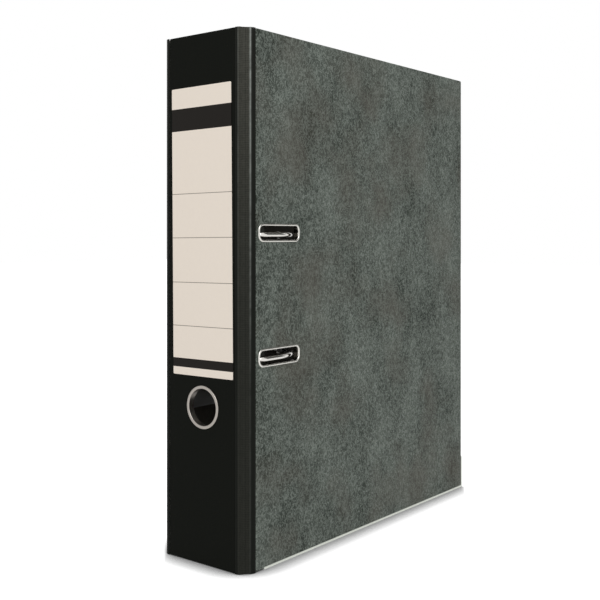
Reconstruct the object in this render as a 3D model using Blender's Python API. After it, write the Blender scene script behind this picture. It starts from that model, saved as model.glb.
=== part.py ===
"""Lever arch file standing on its lower edge, closed.

Lengths are in millimetres until a mesh is made, which is in metres.  Three lengths place a point:
u runs from the spine's outer face to the fore-edge, n from the back cover's inner face to the front cover,
and z up from the surface the file stands on.
"""

import math

import bmesh
import bpy
from mathutils import Matrix, Vector

# Driving sizes of the file.
HEIGHT = 345.0
DEPTH = 276.0
THICKNESS = 77.0
RING_SPACING = 80.0
RINGS_MID_Z = 174.0
SLOT_RISE = 1.2
WIRE_RADIUS = 1.9

# Cover stack: paper, board and lining, each apart from the next by a glue gap.
SKIN = 0.25
GLUE_GAP = 0.25
BOARD = 1.8
COVER = 2.0 * SKIN + 2.0 * GLUE_GAP + BOARD
INSIDE = THICKNESS - 2.0 * COVER

# Creases between cover, hinge strip and spine.
CHAMFER_DEPTH = 7.6
CHAMFER_SIDE = 6.6
CREASE_GAP = 0.3

# Edges of the sheets.
BOARD_LIFT = 0.6
RAIL_START = 18.0
RAIL_FLANGE = 1.5
RAIL_CORNER_RISE = 26.0
RAIL_SHEET = 0.35
SKIN_TO_RAIL = 0.3

# Trim that stands out of the flat faces.
PROUD = 0.8
THUMB_RING_RADIUS = 14.1
THUMB_HOLE_RADIUS = 12.0
THUMB_RING_Z = 102.0
THUMB_RING_SIDE = 1.3
SLOT_MID_U = 33.0
SLOT_HALF_STRAIGHT = 14.95
SLOT_RIM = 6.0
SLOT_OPENING = 4.55
SLOT_TUBE = 0.4
TRIM_CLEARANCE = 0.25

# Label.
LABEL_WIDTH = 53.5
LABEL_HEIGHT = 188.9
LABEL_MID_Z = 216.4
LABEL_SIDE = 0.6
LABEL_TURN = 0.5
LABEL_SHEET = 0.2

# Lever arch mechanism.
BASE_LOW_U = 17.0
BASE_HIGH_U = 82.0
BASE_LENGTH = 160.0
BASE_SHEET = 1.2
SHEET_GAP = 0.2
AXLE_U = 24.0
AXLE_N = 6.0
POST_U = 66.0
POST_RADIUS = 2.5
POST_BORE = 1.6
POST_TOP = 46.2
TIP_CLEARANCE = 0.015
TIP_LEAN = 0.15
RING_FLAT_LOW = 22.5
RING_FLAT_HIGH = 34.0
LEG_U = 14.3
LEG_CORNER_N = 18.5
CRANK_REACH = 17.5
CRANK_DIP = 1.0
CRANK_HALF = 3.2
LEVER_U = 40.0
LEVER_N = 25.0
LEVER_ARM = 13.0
LEVER_ARM_TURN = -110.0
LEVER_HALF = 8.4
LEVER_SHEET = 2.0
CHEEK = 2.0
LEVER_TIP_U = 10.0
LEVER_TIP_N = 52.0
PIN_RADIUS = 2.0
ROLLER_RADIUS = 4.0
ROLLER_PIN_RADIUS = 1.5
RUNNING = 0.09
BRACKET_HALF = 10.8
BRACKET_SHEET = 1.2
BAR_WIDTH = 17.0
BAR_LENGTH = 152.0
BAR_REST_N = 3.2
BAR_LIP = 4.2
RIVET_SPREAD = 70.0
RIVET_LOW_U = 22.5
RIVET_HIGH_U = 77.0
RIVET_RADIUS = 2.0
RIVET_HEAD = 4.2

# Derived places.
SPINE_BACK_N = CHAMFER_SIDE - COVER
ROUND = 28
MID_U = 0.5 * (DEPTH - PROUD)
BACK_INNER_Y = 0.5 * THICKNESS - COVER
FRONT_INNER = INSIDE
BASE_TOP = SHEET_GAP + BASE_SHEET
RING_TOP_N = FRONT_INNER + COVER - WIRE_RADIUS
# The tip leans, so the edge of its flat end dips below its middle by a share of its radius.
TIP_GAP = TIP_CLEARANCE + TIP_LEAN * WIRE_RADIUS
ROLLER_U = LEVER_U + LEVER_ARM * math.cos(math.radians(LEVER_ARM_TURN))
ROLLER_N = LEVER_N + LEVER_ARM * math.sin(math.radians(LEVER_ARM_TURN))


def crease_points():
    """The two pivots (u, n) of the back hinge strip, on the middle of the sheets that meet there."""
    length = math.hypot(CHAMFER_DEPTH, CHAMFER_SIDE)
    inward = (CHAMFER_SIDE / length, CHAMFER_DEPTH / length)
    half = 0.5 * COVER
    at_cover = (CHAMFER_DEPTH + half * (1.0 - inward[1]) / inward[0], -half)
    at_spine_n = -COVER + (half + (CHAMFER_DEPTH - half) * inward[0]) / inward[1]
    return at_cover, (half, at_spine_n)


COVER_PIVOT, SPINE_PIVOT = crease_points()
SHEET_START = COVER_PIVOT[0] + 0.5 * COVER + CREASE_GAP
SPINE_LOW = SPINE_PIVOT[1] + 0.5 * COVER + CREASE_GAP
SPINE_HIGH = FRONT_INNER - SPINE_LOW

for old in list(bpy.data.objects):
    bpy.data.objects.remove(old)

PARTS = bpy.data.collections.new("lever_arch_file")
CUTTERS = bpy.data.collections.new("cutters")
bpy.context.scene.collection.children.link(PARTS)
bpy.context.scene.collection.children.link(CUTTERS)


def at(u, n, z):
    """A point in metres from its three lengths."""
    return Vector((u - MID_U, BACK_INNER_Y - n, z)) * 0.001


def plane_point(axis, a, b, h):
    """(u, n, z) of a point (a, b) in the plane across an axis, at height h along it."""
    if axis == "z":
        return (a, b, h)
    if axis == "n":
        return (a, h, b)
    return (h, a, b)


def material(name, colour, metallic, roughness):
    """A plain Principled material."""
    made = bpy.data.materials.new(name)
    made.use_nodes = True
    shader = made.node_tree.nodes["Principled BSDF"]
    shader.inputs["Base Color"].default_value = (*colour, 1.0)
    shader.inputs["Metallic"].default_value = metallic
    shader.inputs["Roughness"].default_value = roughness
    made.diffuse_color = (*colour, 1.0)
    return made


BLACK_PAPER = (0.008, 0.008, 0.008)
GREY_PAPER = (0.105, 0.125, 0.112)
GREY_BOARD = (0.23, 0.22, 0.2)
LINING_PAPER = (0.36, 0.36, 0.34)
STEEL = (0.56, 0.55, 0.53)
CREAM = (0.75, 0.69, 0.62)
BLACK_PLASTIC = (0.015, 0.015, 0.016)


def solid(name, points, faces, look, cutter=False):
    """An object from (u, n, z) points and faces, with its faces turned outward."""
    mesh = bpy.data.meshes.new(name)
    mesh.from_pydata([at(*point) for point in points], [], faces)
    shape = bmesh.new()
    shape.from_mesh(mesh)
    bmesh.ops.recalc_face_normals(shape, faces=shape.faces)
    shape.to_mesh(mesh)
    shape.free()
    made = bpy.data.objects.new(name, mesh)
    (CUTTERS if cutter else PARTS).objects.link(made)
    if cutter:
        made.hide_render = True
        made.display_type = "WIRE"
    else:
        mesh.materials.append(material(name, *look))
    return made


def prism(name, axis, outline, low, high, look=None, cutter=False):
    """An outline in the plane across an axis, carried along it from low to high."""
    count = len(outline)
    points = [plane_point(axis, a, b, low) for a, b in outline]
    points += [plane_point(axis, a, b, high) for a, b in outline]
    faces = [list(range(count)), list(range(2 * count - 1, count - 1, -1))]
    for i in range(count):
        j = (i + 1) % count
        faces.append([i, j, count + j, count + i])
    return solid(name, points, faces, look, cutter)


def turned(name, axis, centre, profile, look=None, cutter=False, sides=ROUND):
    """A profile of (radius, height) turned about an axis.  It starts and ends on the axis, or it is a loop."""
    points = []
    rows = []
    for radius, height in profile:
        if radius == 0.0:
            rows.append([len(points)] * sides)
            points.append(plane_point(axis, centre[0], centre[1], height))
            continue
        rows.append(list(range(len(points), len(points) + sides)))
        for k in range(sides):
            turn = 2.0 * math.pi * k / sides
            a = centre[0] + radius * math.cos(turn)
            b = centre[1] + radius * math.sin(turn)
            points.append(plane_point(axis, a, b, height))
    pairs = list(zip(rows, rows[1:]))
    if profile[0][0] > 0.0:
        pairs.append((rows[-1], rows[0]))
    faces = []
    for first, second in pairs:
        for k in range(sides):
            m = (k + 1) % sides
            corners = [first[k], first[m], second[m], second[k]]
            faces.append(list(dict.fromkeys(corners)))
    return solid(name, points, faces, look, cutter)


def stadium(centre, half, radius, steps=10):
    """A slot outline: two half circles joined by straight runs along the first direction."""
    outline = []
    for side, start in ((1.0, -0.5 * math.pi), (-1.0, 0.5 * math.pi)):
        for k in range(steps + 1):
            turn = start + math.pi * k / steps
            across = centre[0] + side * half + radius * math.cos(turn)
            outline.append((across, centre[1] + radius * math.sin(turn)))
    return outline


def slot_ring(name, centre, profile, look):
    """A profile of (offset, n) carried round the slot, offset from the line at its middle."""
    points = []
    rows = []
    for offset, height in profile:
        row = stadium(centre, SLOT_HALF_STRAIGHT, offset)
        rows.append(list(range(len(points), len(points) + len(row))))
        points += [plane_point("n", a, b, height) for a, b in row]
    faces = []
    for first, second in zip(rows, rows[1:] + rows[:1]):
        count = len(first)
        for k in range(count):
            m = (k + 1) % count
            faces.append([first[k], first[m], second[m], second[k]])
    return solid(name, points, faces, look)


def arc(centre, radius, start, stop, steps):
    """Points on a circular arc, with its angles in degrees."""
    turns = [math.radians(start + (stop - start) * k / steps) for k in range(steps + 1)]
    return [(centre[0] + radius * math.cos(t), centre[1] + radius * math.sin(t)) for t in turns]


def rectangle(low_a, high_a, low_b, high_b, corner=0.0, steps=4):
    """A rectangle's outline, with round corners where a corner radius is given."""
    if corner == 0.0:
        return [(low_a, low_b), (high_a, low_b), (high_a, high_b), (low_a, high_b)]
    outline = []
    corners = ((high_a - corner, low_b + corner, -90.0), (high_a - corner, high_b - corner, 0.0))
    corners += ((low_a + corner, high_b - corner, 90.0), (low_a + corner, low_b + corner, 180.0))
    for a, b, start in corners:
        outline += arc((a, b), corner, start, start + 90.0, steps)
    return outline


def wire_path(corners):
    """Points along a wire through (point, bend radius) corners.  A bend radius of 0 keeps the point."""
    path = [Vector(corners[0][0])]
    for (before, _), (corner, radius), (after, _) in zip(corners, corners[1:], corners[2:]):
        corner = Vector(corner)
        if radius == 0.0:
            path.append(corner)
            continue
        back = (Vector(before) - corner).normalized()
        ahead = (Vector(after) - corner).normalized()
        half = 0.5 * back.angle(ahead)
        middle = corner + (back + ahead).normalized() * (radius / math.sin(half))
        start = corner + back * (radius / math.tan(half)) - middle
        turn = start.rotation_difference(corner + ahead * (radius / math.tan(half)) - middle)
        steps = max(3, round(math.degrees(turn.angle) / 15.0))
        for k in range(steps + 1):
            part = Matrix.Rotation(turn.angle * k / steps, 3, turn.axis)
            path.append(middle + part @ start)
    path.append(Vector(corners[-1][0]))
    return path


def wire(name, path, radius, look, sides=12):
    """A round wire with flat ends along a path."""
    along = (path[1] - path[0]).normalized()
    side = along.orthogonal().normalized()
    points = []
    for i, point in enumerate(path):
        step = (path[min(i + 1, len(path) - 1)] - path[max(i - 1, 0)]).normalized()
        side = along.rotation_difference(step) @ side
        along = step
        other = along.cross(side)
        for k in range(sides):
            turn = 2.0 * math.pi * k / sides
            points.append(tuple(point + radius * (side * math.cos(turn) + other * math.sin(turn))))
    faces = [list(range(sides)), list(range(len(points) - 1, len(points) - sides - 1, -1))]
    for i in range(len(path) - 1):
        for k in range(sides):
            m = (k + 1) % sides
            faces.append([i * sides + k, i * sides + m, (i + 1) * sides + m, (i + 1) * sides + k])
    return solid(name, points, faces, look)


def boolean(target, other, operation="DIFFERENCE"):
    """An exact Boolean on the target."""
    step = target.modifiers.new(other.name, "BOOLEAN")
    step.operation = operation
    step.solver = "EXACT"
    step.object = other


def mirrored(n):
    """The front cover's height for the same place in the back cover."""
    return FRONT_INNER - n


# Covers.  Each sheet is (low, high) from the inner face outward.
LINING_AT = (0.0, SKIN)
BOARD_AT = (SKIN + GLUE_GAP, SKIN + GLUE_GAP + BOARD)
PAPER_AT = (COVER - SKIN, COVER)
SKIN_END = DEPTH - RAIL_SHEET - SKIN_TO_RAIL
BOARD_END = DEPTH - RAIL_SHEET - GLUE_GAP


def cover_sheet(name, side, levels, end, bottom, look):
    """One sheet of a cover.  Side is back or front."""
    outline = rectangle(SHEET_START, end, bottom, HEIGHT, 1.2)
    low, high = sorted(-level if side == "back" else FRONT_INNER + level for level in levels)
    return prism(name, "n", outline, low, high, look)


def skin_with_notch(name, side, levels, look):
    """A skin that stops above the edge rail and goes round the rail's rise at the fore-edge corner."""
    bottom = RAIL_FLANGE + SKIN_TO_RAIL
    inner = DEPTH - RAIL_FLANGE - SKIN_TO_RAIL
    rise = RAIL_CORNER_RISE + SKIN_TO_RAIL
    outline = [(SHEET_START, BOARD_LIFT), (RAIL_START - SKIN_TO_RAIL, BOARD_LIFT)]
    outline += [(RAIL_START - SKIN_TO_RAIL, bottom), (inner, bottom), (inner, rise), (SKIN_END, rise)]
    outline += [(SKIN_END, HEIGHT - 1.0), (SKIN_END - 1.0, HEIGHT), (SHEET_START, HEIGHT)]
    low, high = sorted(-level if side == "back" else FRONT_INNER + level for level in levels)
    return prism(name, "n", outline, low, high, look)


BOARD_LOOK = (GREY_BOARD, 0.0, 0.9)
back_board = cover_sheet("back_cover_board", "back", BOARD_AT, BOARD_END, BOARD_LIFT, BOARD_LOOK)
back_paper = skin_with_notch("back_cover_paper", "back", PAPER_AT, (GREY_PAPER, 0.0, 0.6))
back_lining = skin_with_notch("back_cover_lining", "back", LINING_AT, (LINING_PAPER, 0.0, 0.8))
front_board = cover_sheet("front_cover_board", "front", BOARD_AT, BOARD_END, BOARD_LIFT, BOARD_LOOK)
front_paper = skin_with_notch("front_cover_paper", "front", PAPER_AT, (GREY_PAPER, 0.0, 0.6))
front_lining = skin_with_notch("front_cover_lining", "front", LINING_AT, (LINING_PAPER, 0.0, 0.8))
back_sheets = (back_board, back_paper, back_lining)
front_sheets = (front_board, front_paper, front_lining)


def edge_rail(name, side):
    """A folded steel strip round a cover's lower edge and up its fore-edge corner."""
    outline = [(RAIL_START, 0.0), (DEPTH - 1.0, 0.0), (DEPTH, 1.0), (DEPTH, RAIL_CORNER_RISE)]
    inner = DEPTH - RAIL_FLANGE
    outline += [(inner, RAIL_CORNER_RISE), (inner, RAIL_FLANGE), (RAIL_START, RAIL_FLANGE)]
    low, high = sorted(-level if side == "back" else FRONT_INNER + level for level in (0.0, COVER))
    rail = prism(name, "n", outline, low, high, (STEEL, 1.0, 0.3))
    channel = rectangle(RAIL_START - 5.0, DEPTH - RAIL_SHEET, RAIL_SHEET, RAIL_CORNER_RISE + 5.0, 0.8)
    cut = prism(name + "_channel", "n", channel, low + RAIL_SHEET, high - RAIL_SHEET, cutter=True)
    boolean(rail, cut)
    return rail


back_rail = edge_rail("back_edge_rail", "back")
front_rail = edge_rail("front_edge_rail", "front")

# Spine sheets, from the outer face inward.
SPINE_WRAP_U = (0.0, SKIN)
SPINE_BOARD_U = (SKIN + GLUE_GAP, SKIN + GLUE_GAP + BOARD)
SPINE_LINING_U = (COVER - SKIN, COVER)
spine_outline = rectangle(SPINE_LOW, SPINE_HIGH, BOARD_LIFT, HEIGHT)
spine_board = prism("spine_board", "u", spine_outline, *SPINE_BOARD_U, (GREY_BOARD, 0.0, 0.9))
spine_wrap = prism("spine_wrap", "u", spine_outline, *SPINE_WRAP_U, (BLACK_PAPER, 0.0, 0.55))
spine_lining = prism("spine_lining", "u", spine_outline, *SPINE_LINING_U, (LINING_PAPER, 0.0, 0.8))
spine_sheets = (spine_board, spine_wrap, spine_lining)


def hinge_strip(name, side):
    """The strip between two creases: a flat bar with a round edge centred on each crease."""
    first, second = Vector(COVER_PIVOT), Vector(SPINE_PIVOT)
    heading = math.degrees(math.atan2(second[1] - first[1], second[0] - first[0]))
    outline = arc(second, 0.5 * COVER, heading - 90.0, heading + 90.0, 10)
    outline += arc(first, 0.5 * COVER, heading + 90.0, heading + 270.0, 10)
    if side == "front":
        outline = [(u, mirrored(n)) for u, n in outline]
    return prism(name, "z", outline, BOARD_LIFT, HEIGHT, (BLACK_PAPER, 0.0, 0.55))


back_hinge = hinge_strip("back_hinge_strip", "back")
front_hinge = hinge_strip("front_hinge_strip", "front")

# Label, turned a little on the spine.
label_outline = []
for a, b in rectangle(-0.5 * LABEL_WIDTH, 0.5 * LABEL_WIDTH, -0.5 * LABEL_HEIGHT, 0.5 * LABEL_HEIGHT, 0.8):
    turn = math.radians(LABEL_TURN)
    across = BACK_INNER_Y + LABEL_SIDE + a * math.cos(turn) - b * math.sin(turn)
    label_outline.append((across, LABEL_MID_Z + a * math.sin(turn) + b * math.cos(turn)))
label = prism("spine_label", "u", label_outline, -LABEL_SHEET - 0.15, -0.15, (CREAM, 0.0, 0.6))

# Thumb ring.
THUMB_CENTRE = (BACK_INNER_Y + THUMB_RING_SIDE, THUMB_RING_Z)
THUMB_TUBE = THUMB_HOLE_RADIUS + SLOT_TUBE
ring_profile = [(THUMB_HOLE_RADIUS, COVER + 0.9), (THUMB_TUBE, COVER + 0.9), (THUMB_TUBE, -0.15)]
ring_profile += [(THUMB_RING_RADIUS, -0.15), (THUMB_RING_RADIUS - 0.15, -0.45), (THUMB_RING_RADIUS - 0.6, -0.7)]
ring_profile += [(THUMB_RING_RADIUS - 1.3, -PROUD), (THUMB_HOLE_RADIUS + 0.5, -0.6), (THUMB_HOLE_RADIUS, -0.1)]
thumb_ring = turned("thumb_ring", "u", THUMB_CENTRE, ring_profile, (STEEL, 1.0, 0.25), sides=40)
washer_profile = [(THUMB_TUBE + TRIM_CLEARANCE, COVER + 0.2), (THUMB_RING_RADIUS, COVER + 0.2)]
washer_profile += [(THUMB_RING_RADIUS, COVER + 0.7), (THUMB_TUBE + TRIM_CLEARANCE, COVER + 0.7)]
thumb_washer = turned("thumb_ring_washer", "u", THUMB_CENTRE, washer_profile, (STEEL, 1.0, 0.3), sides=40)
hole = THUMB_TUBE + TRIM_CLEARANCE
hole_profile = [(0.0, -5.0), (hole, -5.0), (hole, 9.0), (0.0, 9.0)]
thumb_cut = turned("thumb_cut", "u", THUMB_CENTRE, hole_profile, cutter=True, sides=40)
for sheet in spine_sheets:
    boolean(sheet, thumb_cut)

# Slot eyelets in the front cover, each with a clinch washer inside.
eyelets = []
for place, side in (("lower", -1.0), ("upper", 1.0)):
    centre = (SLOT_MID_U, RINGS_MID_Z + SLOT_RISE + side * 0.5 * RING_SPACING)
    outer = FRONT_INNER + COVER
    tube = SLOT_OPENING + SLOT_TUBE
    profile = [(SLOT_OPENING, FRONT_INNER - 0.75), (tube, FRONT_INNER - 0.75), (tube, outer + 0.15)]
    profile += [(SLOT_RIM, outer + 0.15), (SLOT_RIM - 0.1, outer + 0.5), (SLOT_RIM - 0.5, outer + 0.75)]
    profile += [(SLOT_OPENING + 0.5, outer + PROUD), (SLOT_OPENING, outer + 0.45)]
    eyelets.append(slot_ring("slot_eyelet_" + place, centre, profile, (STEEL, 1.0, 0.2)))
    inner = tube + TRIM_CLEARANCE
    profile = [(inner, FRONT_INNER - 0.2), (SLOT_RIM, FRONT_INNER - 0.2)]
    profile += [(SLOT_RIM, FRONT_INNER - 0.65), (inner, FRONT_INNER - 0.65)]
    eyelets.append(slot_ring("slot_washer_" + place, centre, profile, (STEEL, 1.0, 0.3)))
    cut_outline = stadium(centre, SLOT_HALF_STRAIGHT, inner)
    cut = prism("slot_cut_" + place, "n", cut_outline, FRONT_INNER - 5.0, outer + 5.0, cutter=True)
    for sheet in front_sheets:
        boolean(sheet, cut)

# Base plate.
plate_low = RINGS_MID_Z - 0.5 * BASE_LENGTH
plate_high = RINGS_MID_Z + 0.5 * BASE_LENGTH
base_outline = rectangle(BASE_LOW_U, BASE_HIGH_U, plate_low, plate_high, 6.0)
base_plate = prism("base_plate", "n", base_outline, SHEET_GAP, BASE_TOP, (STEEL, 1.0, 0.3))

# Mounting rivets, through the back cover and the base plate.
rivets = []
names = ("low_inner", "low_outer", "high_inner", "high_outer")
places = [(u, RINGS_MID_Z + side * RIVET_SPREAD) for side in (-1.0, 1.0) for u in (RIVET_LOW_U, RIVET_HIGH_U)]
for name, centre in zip(names, places):
    name = "mounting_rivet_" + name
    profile = [(0.0, -COVER - PROUD), (RIVET_HEAD - 1.2, -COVER - PROUD), (RIVET_HEAD, -COVER - 0.15)]
    profile += [(RIVET_RADIUS, -COVER - 0.15), (RIVET_RADIUS, BASE_TOP + 0.15), (RIVET_HEAD, BASE_TOP + 0.15)]
    profile += [(RIVET_HEAD - 1.4, BASE_TOP + 0.95), (0.0, BASE_TOP + 0.95)]
    rivets.append(turned(name, "n", centre, profile, (STEEL, 1.0, 0.3), sides=24))
    bore = RIVET_RADIUS + TRIM_CLEARANCE
    bore_profile = [(0.0, -COVER - 5.0), (bore, -COVER - 5.0), (bore, BASE_TOP + 5.0), (0.0, BASE_TOP + 5.0)]
    cut = turned(name + "_cut", "n", centre, bore_profile, cutter=True, sides=24)
    for sheet in (*back_sheets, base_plate):
        boolean(sheet, cut)

# Posts, each with a foot and a bore that takes the arch's tip.
posts = []
for place, z in (("lower", RINGS_MID_Z - 0.5 * RING_SPACING), ("upper", RINGS_MID_Z + 0.5 * RING_SPACING)):
    foot = BASE_TOP + 0.15
    profile = [(0.0, foot), (5.0, foot), (5.0, foot + 0.9), (POST_RADIUS, foot + 1.1)]
    profile += [(POST_RADIUS, POST_TOP - 0.3), (POST_RADIUS - 0.3, POST_TOP), (POST_BORE, POST_TOP)]
    profile += [(POST_BORE, POST_TOP - 9.0), (0.0, POST_TOP - 9.0)]
    posts.append(turned(place + "_post", "n", (POST_U, z), profile, (STEEL, 1.0, 0.2), sides=24))


def arch_half(side):
    """Corners of the wire from one ring's tip to the middle of the crank."""
    z = RINGS_MID_Z + side * 0.5 * RING_SPACING
    crank_z = RINGS_MID_Z + side * CRANK_HALF
    span_u = POST_U - RING_FLAT_HIGH
    low = POST_TOP - 1.9
    span_n = RING_TOP_N - low
    start = math.asin((POST_TOP + TIP_GAP - low) / span_n)
    corners = []
    for k in range(15):
        turn = start + (0.5 * math.pi - start) * k / 14.0
        corners.append(((RING_FLAT_HIGH + span_u * math.cos(turn), low + span_n * math.sin(turn), z), 0.0))
    corners.append(((LEG_U, RING_TOP_N, z), RING_FLAT_LOW - LEG_U))
    corners.append(((LEG_U, LEG_CORNER_N, z), 6.0))
    corners.append(((AXLE_U, AXLE_N, z), 4.0))
    corners.append(((AXLE_U, AXLE_N, crank_z), 2.8))
    corners.append(((AXLE_U + CRANK_REACH, AXLE_N - CRANK_DIP, crank_z), 3.0))
    return corners


arch_corners = arch_half(-1.0) + list(reversed(arch_half(1.0)))
arch_wire = wire("arch_wire", wire_path(arch_corners), WIRE_RADIUS, (STEEL, 1.0, 0.12))

# Straps that hold the wire's axle down on the base plate.
straps = []
for place, side in (("lower", -1.0), ("upper", 1.0)):
    inner = WIRE_RADIUS + 0.4
    outer = inner + 1.2
    foot = BASE_TOP + 0.15
    centre = (AXLE_U, AXLE_N)
    outline = [(BASE_LOW_U + 0.5, foot), (AXLE_U - inner, foot)]
    outline += arc(centre, inner, 180.0, 0.0, 12)
    outline += [(AXLE_U + inner, foot), (AXLE_U + 6.5, foot)]
    outline += [(AXLE_U + 6.5, foot + 1.2), (AXLE_U + outer, foot + 1.2)]
    outline += arc(centre, outer, 0.0, 180.0, 12)
    outline += [(AXLE_U - outer, foot + 1.2), (BASE_LOW_U + 0.5, foot + 1.2)]
    middle = RINGS_MID_Z + side * 23.0
    straps.append(prism("axle_strap_" + place, "z", outline, middle - 4.0, middle + 4.0, (STEEL, 1.0, 0.3)))

# Lever bracket: two ears joined by a floor beyond the crank.
FLOOR_LOW_U = AXLE_U + CRANK_REACH + WIRE_RADIUS + 1.0
BRACKET_HIGH_U = 55.6
bracket_foot = BASE_TOP + 0.15
ear = [(31.5, bracket_foot), (BRACKET_HIGH_U, bracket_foot), (BRACKET_HIGH_U, bracket_foot + 3.5)]
ear += arc((LEVER_U, LEVER_N), 5.2, 15.0, 160.0, 12)
ear += [(31.5, 9.0)]
lower_mid = (RINGS_MID_Z - BRACKET_HALF, RINGS_MID_Z - BRACKET_HALF + BRACKET_SHEET)
bracket = prism("lever_bracket", "z", ear, *lower_mid, (STEEL, 1.0, 0.3))
upper_mid = (RINGS_MID_Z + BRACKET_HALF - BRACKET_SHEET, RINGS_MID_Z + BRACKET_HALF)
boolean(bracket, prism("upper_ear", "z", ear, *upper_mid, cutter=True), "UNION")
floor = rectangle(FLOOR_LOW_U, BRACKET_HIGH_U, RINGS_MID_Z - BRACKET_HALF, RINGS_MID_Z + BRACKET_HALF)
floor_plate = prism("bracket_floor", "n", floor, bracket_foot, bracket_foot + BRACKET_SHEET, cutter=True)
boolean(bracket, floor_plate, "UNION")


def pin_cut(name, centre, radius, low=-20.0, high=20.0):
    """A cutter along z for a pin's hole, reaching as far as stated from the middle of the rings."""
    profile = [(0.0, low), (radius, low), (radius, high), (0.0, high)]
    profile = [(r, RINGS_MID_Z + h) for r, h in profile]
    return turned(name, "z", centre, profile, cutter=True)


boolean(bracket, pin_cut("bracket_pin_cut", (LEVER_U, LEVER_N), PIN_RADIUS + TRIM_CLEARANCE))

bracket_rivets = []
for place, side in (("lower", -1.0), ("upper", 1.0)):
    centre = (0.5 * (FLOOR_LOW_U + BRACKET_HIGH_U) + 0.4, RINGS_MID_Z + side * 5.5)
    top = bracket_foot + BRACKET_SHEET + 0.15
    profile = [(0.0, 0.45), (1.3, 0.45), (1.3, top), (2.6, top), (1.8, top + 0.9), (0.0, top + 0.9)]
    bracket_rivets.append(turned("bracket_rivet_" + place, "n", centre, profile, (STEEL, 1.0, 0.3), sides=20))
    bore_profile = [(0.0, -0.1), (1.55, -0.1), (1.55, top + 4.0), (0.0, top + 4.0)]
    cut = turned("bracket_rivet_cut_" + place, "n", centre, bore_profile, cutter=True, sides=20)
    boolean(bracket, cut)
    boolean(base_plate, cut)

PIN_END = BRACKET_HALF + 0.3
pin_profile = [(0.0, -PIN_END - 1.1), (3.2, -PIN_END - 1.1), (3.2, -PIN_END), (PIN_RADIUS, -PIN_END)]
pin_profile += [(PIN_RADIUS, PIN_END), (3.2, PIN_END), (3.2, PIN_END + 1.1), (0.0, PIN_END + 1.1)]
pin_profile = [(r, RINGS_MID_Z + h) for r, h in pin_profile]
lever_pin = turned("lever_pivot_pin", "z", (LEVER_U, LEVER_N), pin_profile, (STEEL, 1.0, 0.25))


def lever_line(share):
    """A point on the curved handle's middle line, and its sideways direction.  Share runs from hub to tip."""
    first = Vector((LEVER_U - 2.0, LEVER_N + 3.0))
    bend = Vector((LEVER_U - 22.0, LEVER_N + 4.0))
    last = Vector((LEVER_TIP_U, LEVER_TIP_N))
    point = first * (1.0 - share) ** 2 + bend * 2.0 * share * (1.0 - share) + last * share**2
    heading = ((bend - first) * (1.0 - share) + (last - bend) * share).normalized()
    return point, heading, Vector((-heading[1], heading[0]))


def lever_ribbon(low, high, half, extra=0.0, steps=14):
    """The handle's outline between two shares of its length, carried straight on by extra at the tip."""
    left, right = [], []
    for k in range(steps + 1):
        point, heading, across = lever_line(low + (high - low) * k / steps)
        left.append(tuple(point + across * half))
        right.append(tuple(point - across * half))
    if extra > 0.0:
        left.append(tuple(point + heading * extra + across * half))
        right.append(tuple(point + heading * extra - across * half))
    return left + right[::-1]


def across_middle(half):
    """The two z values a half width either side of the middle of the rings."""
    return RINGS_MID_Z - half, RINGS_MID_Z + half


handle = lever_ribbon(0.0, 1.0, 0.5 * LEVER_SHEET)
lever = prism("lever", "z", handle, *across_middle(LEVER_HALF), (STEEL, 1.0, 0.25))
hub = arc((LEVER_U, LEVER_N), 4.6, 0.0, 360.0, ROUND)[:-1]
boolean(lever, prism("lever_hub", "z", hub, *across_middle(LEVER_HALF), cutter=True), "UNION")
cheek = arc((LEVER_U, LEVER_N), 3.6, LEVER_ARM_TURN + 90.0, LEVER_ARM_TURN + 270.0, 12)
cheek += arc((ROLLER_U, ROLLER_N), 3.0, LEVER_ARM_TURN - 90.0, LEVER_ARM_TURN + 90.0, 12)
for place, side in (("lower", -1.0), ("upper", 1.0)):
    ends = sorted((RINGS_MID_Z + side * LEVER_HALF, RINGS_MID_Z + side * (LEVER_HALF - CHEEK)))
    boolean(lever, prism("lever_cheek_" + place, "z", cheek, *ends, cutter=True), "UNION")
boolean(lever, pin_cut("lever_pin_cut", (LEVER_U, LEVER_N), PIN_RADIUS + RUNNING))
boolean(lever, pin_cut("roller_pin_cut", (ROLLER_U, ROLLER_N), ROLLER_PIN_RADIUS + TRIM_CLEARANCE))

grip_outline = lever_ribbon(0.62, 1.0, 2.2, 1.8)
grip = prism("lever_grip", "z", grip_outline, *across_middle(LEVER_HALF + 1.3), (BLACK_PLASTIC, 0.0, 0.4))
pocket = lever_ribbon(0.5, 1.0, 0.5 * LEVER_SHEET + 0.3, 0.3)
boolean(grip, prism("grip_pocket", "z", pocket, *across_middle(LEVER_HALF + 0.3), cutter=True))

PIN_STOP = LEVER_HALF + 0.2
pin_profile = [(0.0, -PIN_STOP - 0.6), (2.5, -PIN_STOP - 0.6), (2.5, -PIN_STOP), (ROLLER_PIN_RADIUS, -PIN_STOP)]
pin_profile += [(ROLLER_PIN_RADIUS, PIN_STOP), (2.5, PIN_STOP), (2.5, PIN_STOP + 0.6), (0.0, PIN_STOP + 0.6)]
pin_profile = [(r, RINGS_MID_Z + h) for r, h in pin_profile]
roller_pin = turned("roller_pin", "z", (ROLLER_U, ROLLER_N), pin_profile, (STEEL, 1.0, 0.25))

ROLLER_HALF = LEVER_HALF - CHEEK - 0.4
roller_bore = ROLLER_PIN_RADIUS + RUNNING
roller_profile = [(roller_bore, -ROLLER_HALF), (ROLLER_RADIUS, -ROLLER_HALF), (ROLLER_RADIUS, ROLLER_HALF)]
roller_profile += [(roller_bore, ROLLER_HALF)]
roller_profile = [(r, RINGS_MID_Z + h) for r, h in roller_profile]
roller = turned("roller", "z", (ROLLER_U, ROLLER_N), roller_profile, (BLACK_PLASTIC, 0.0, 0.4))

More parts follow.
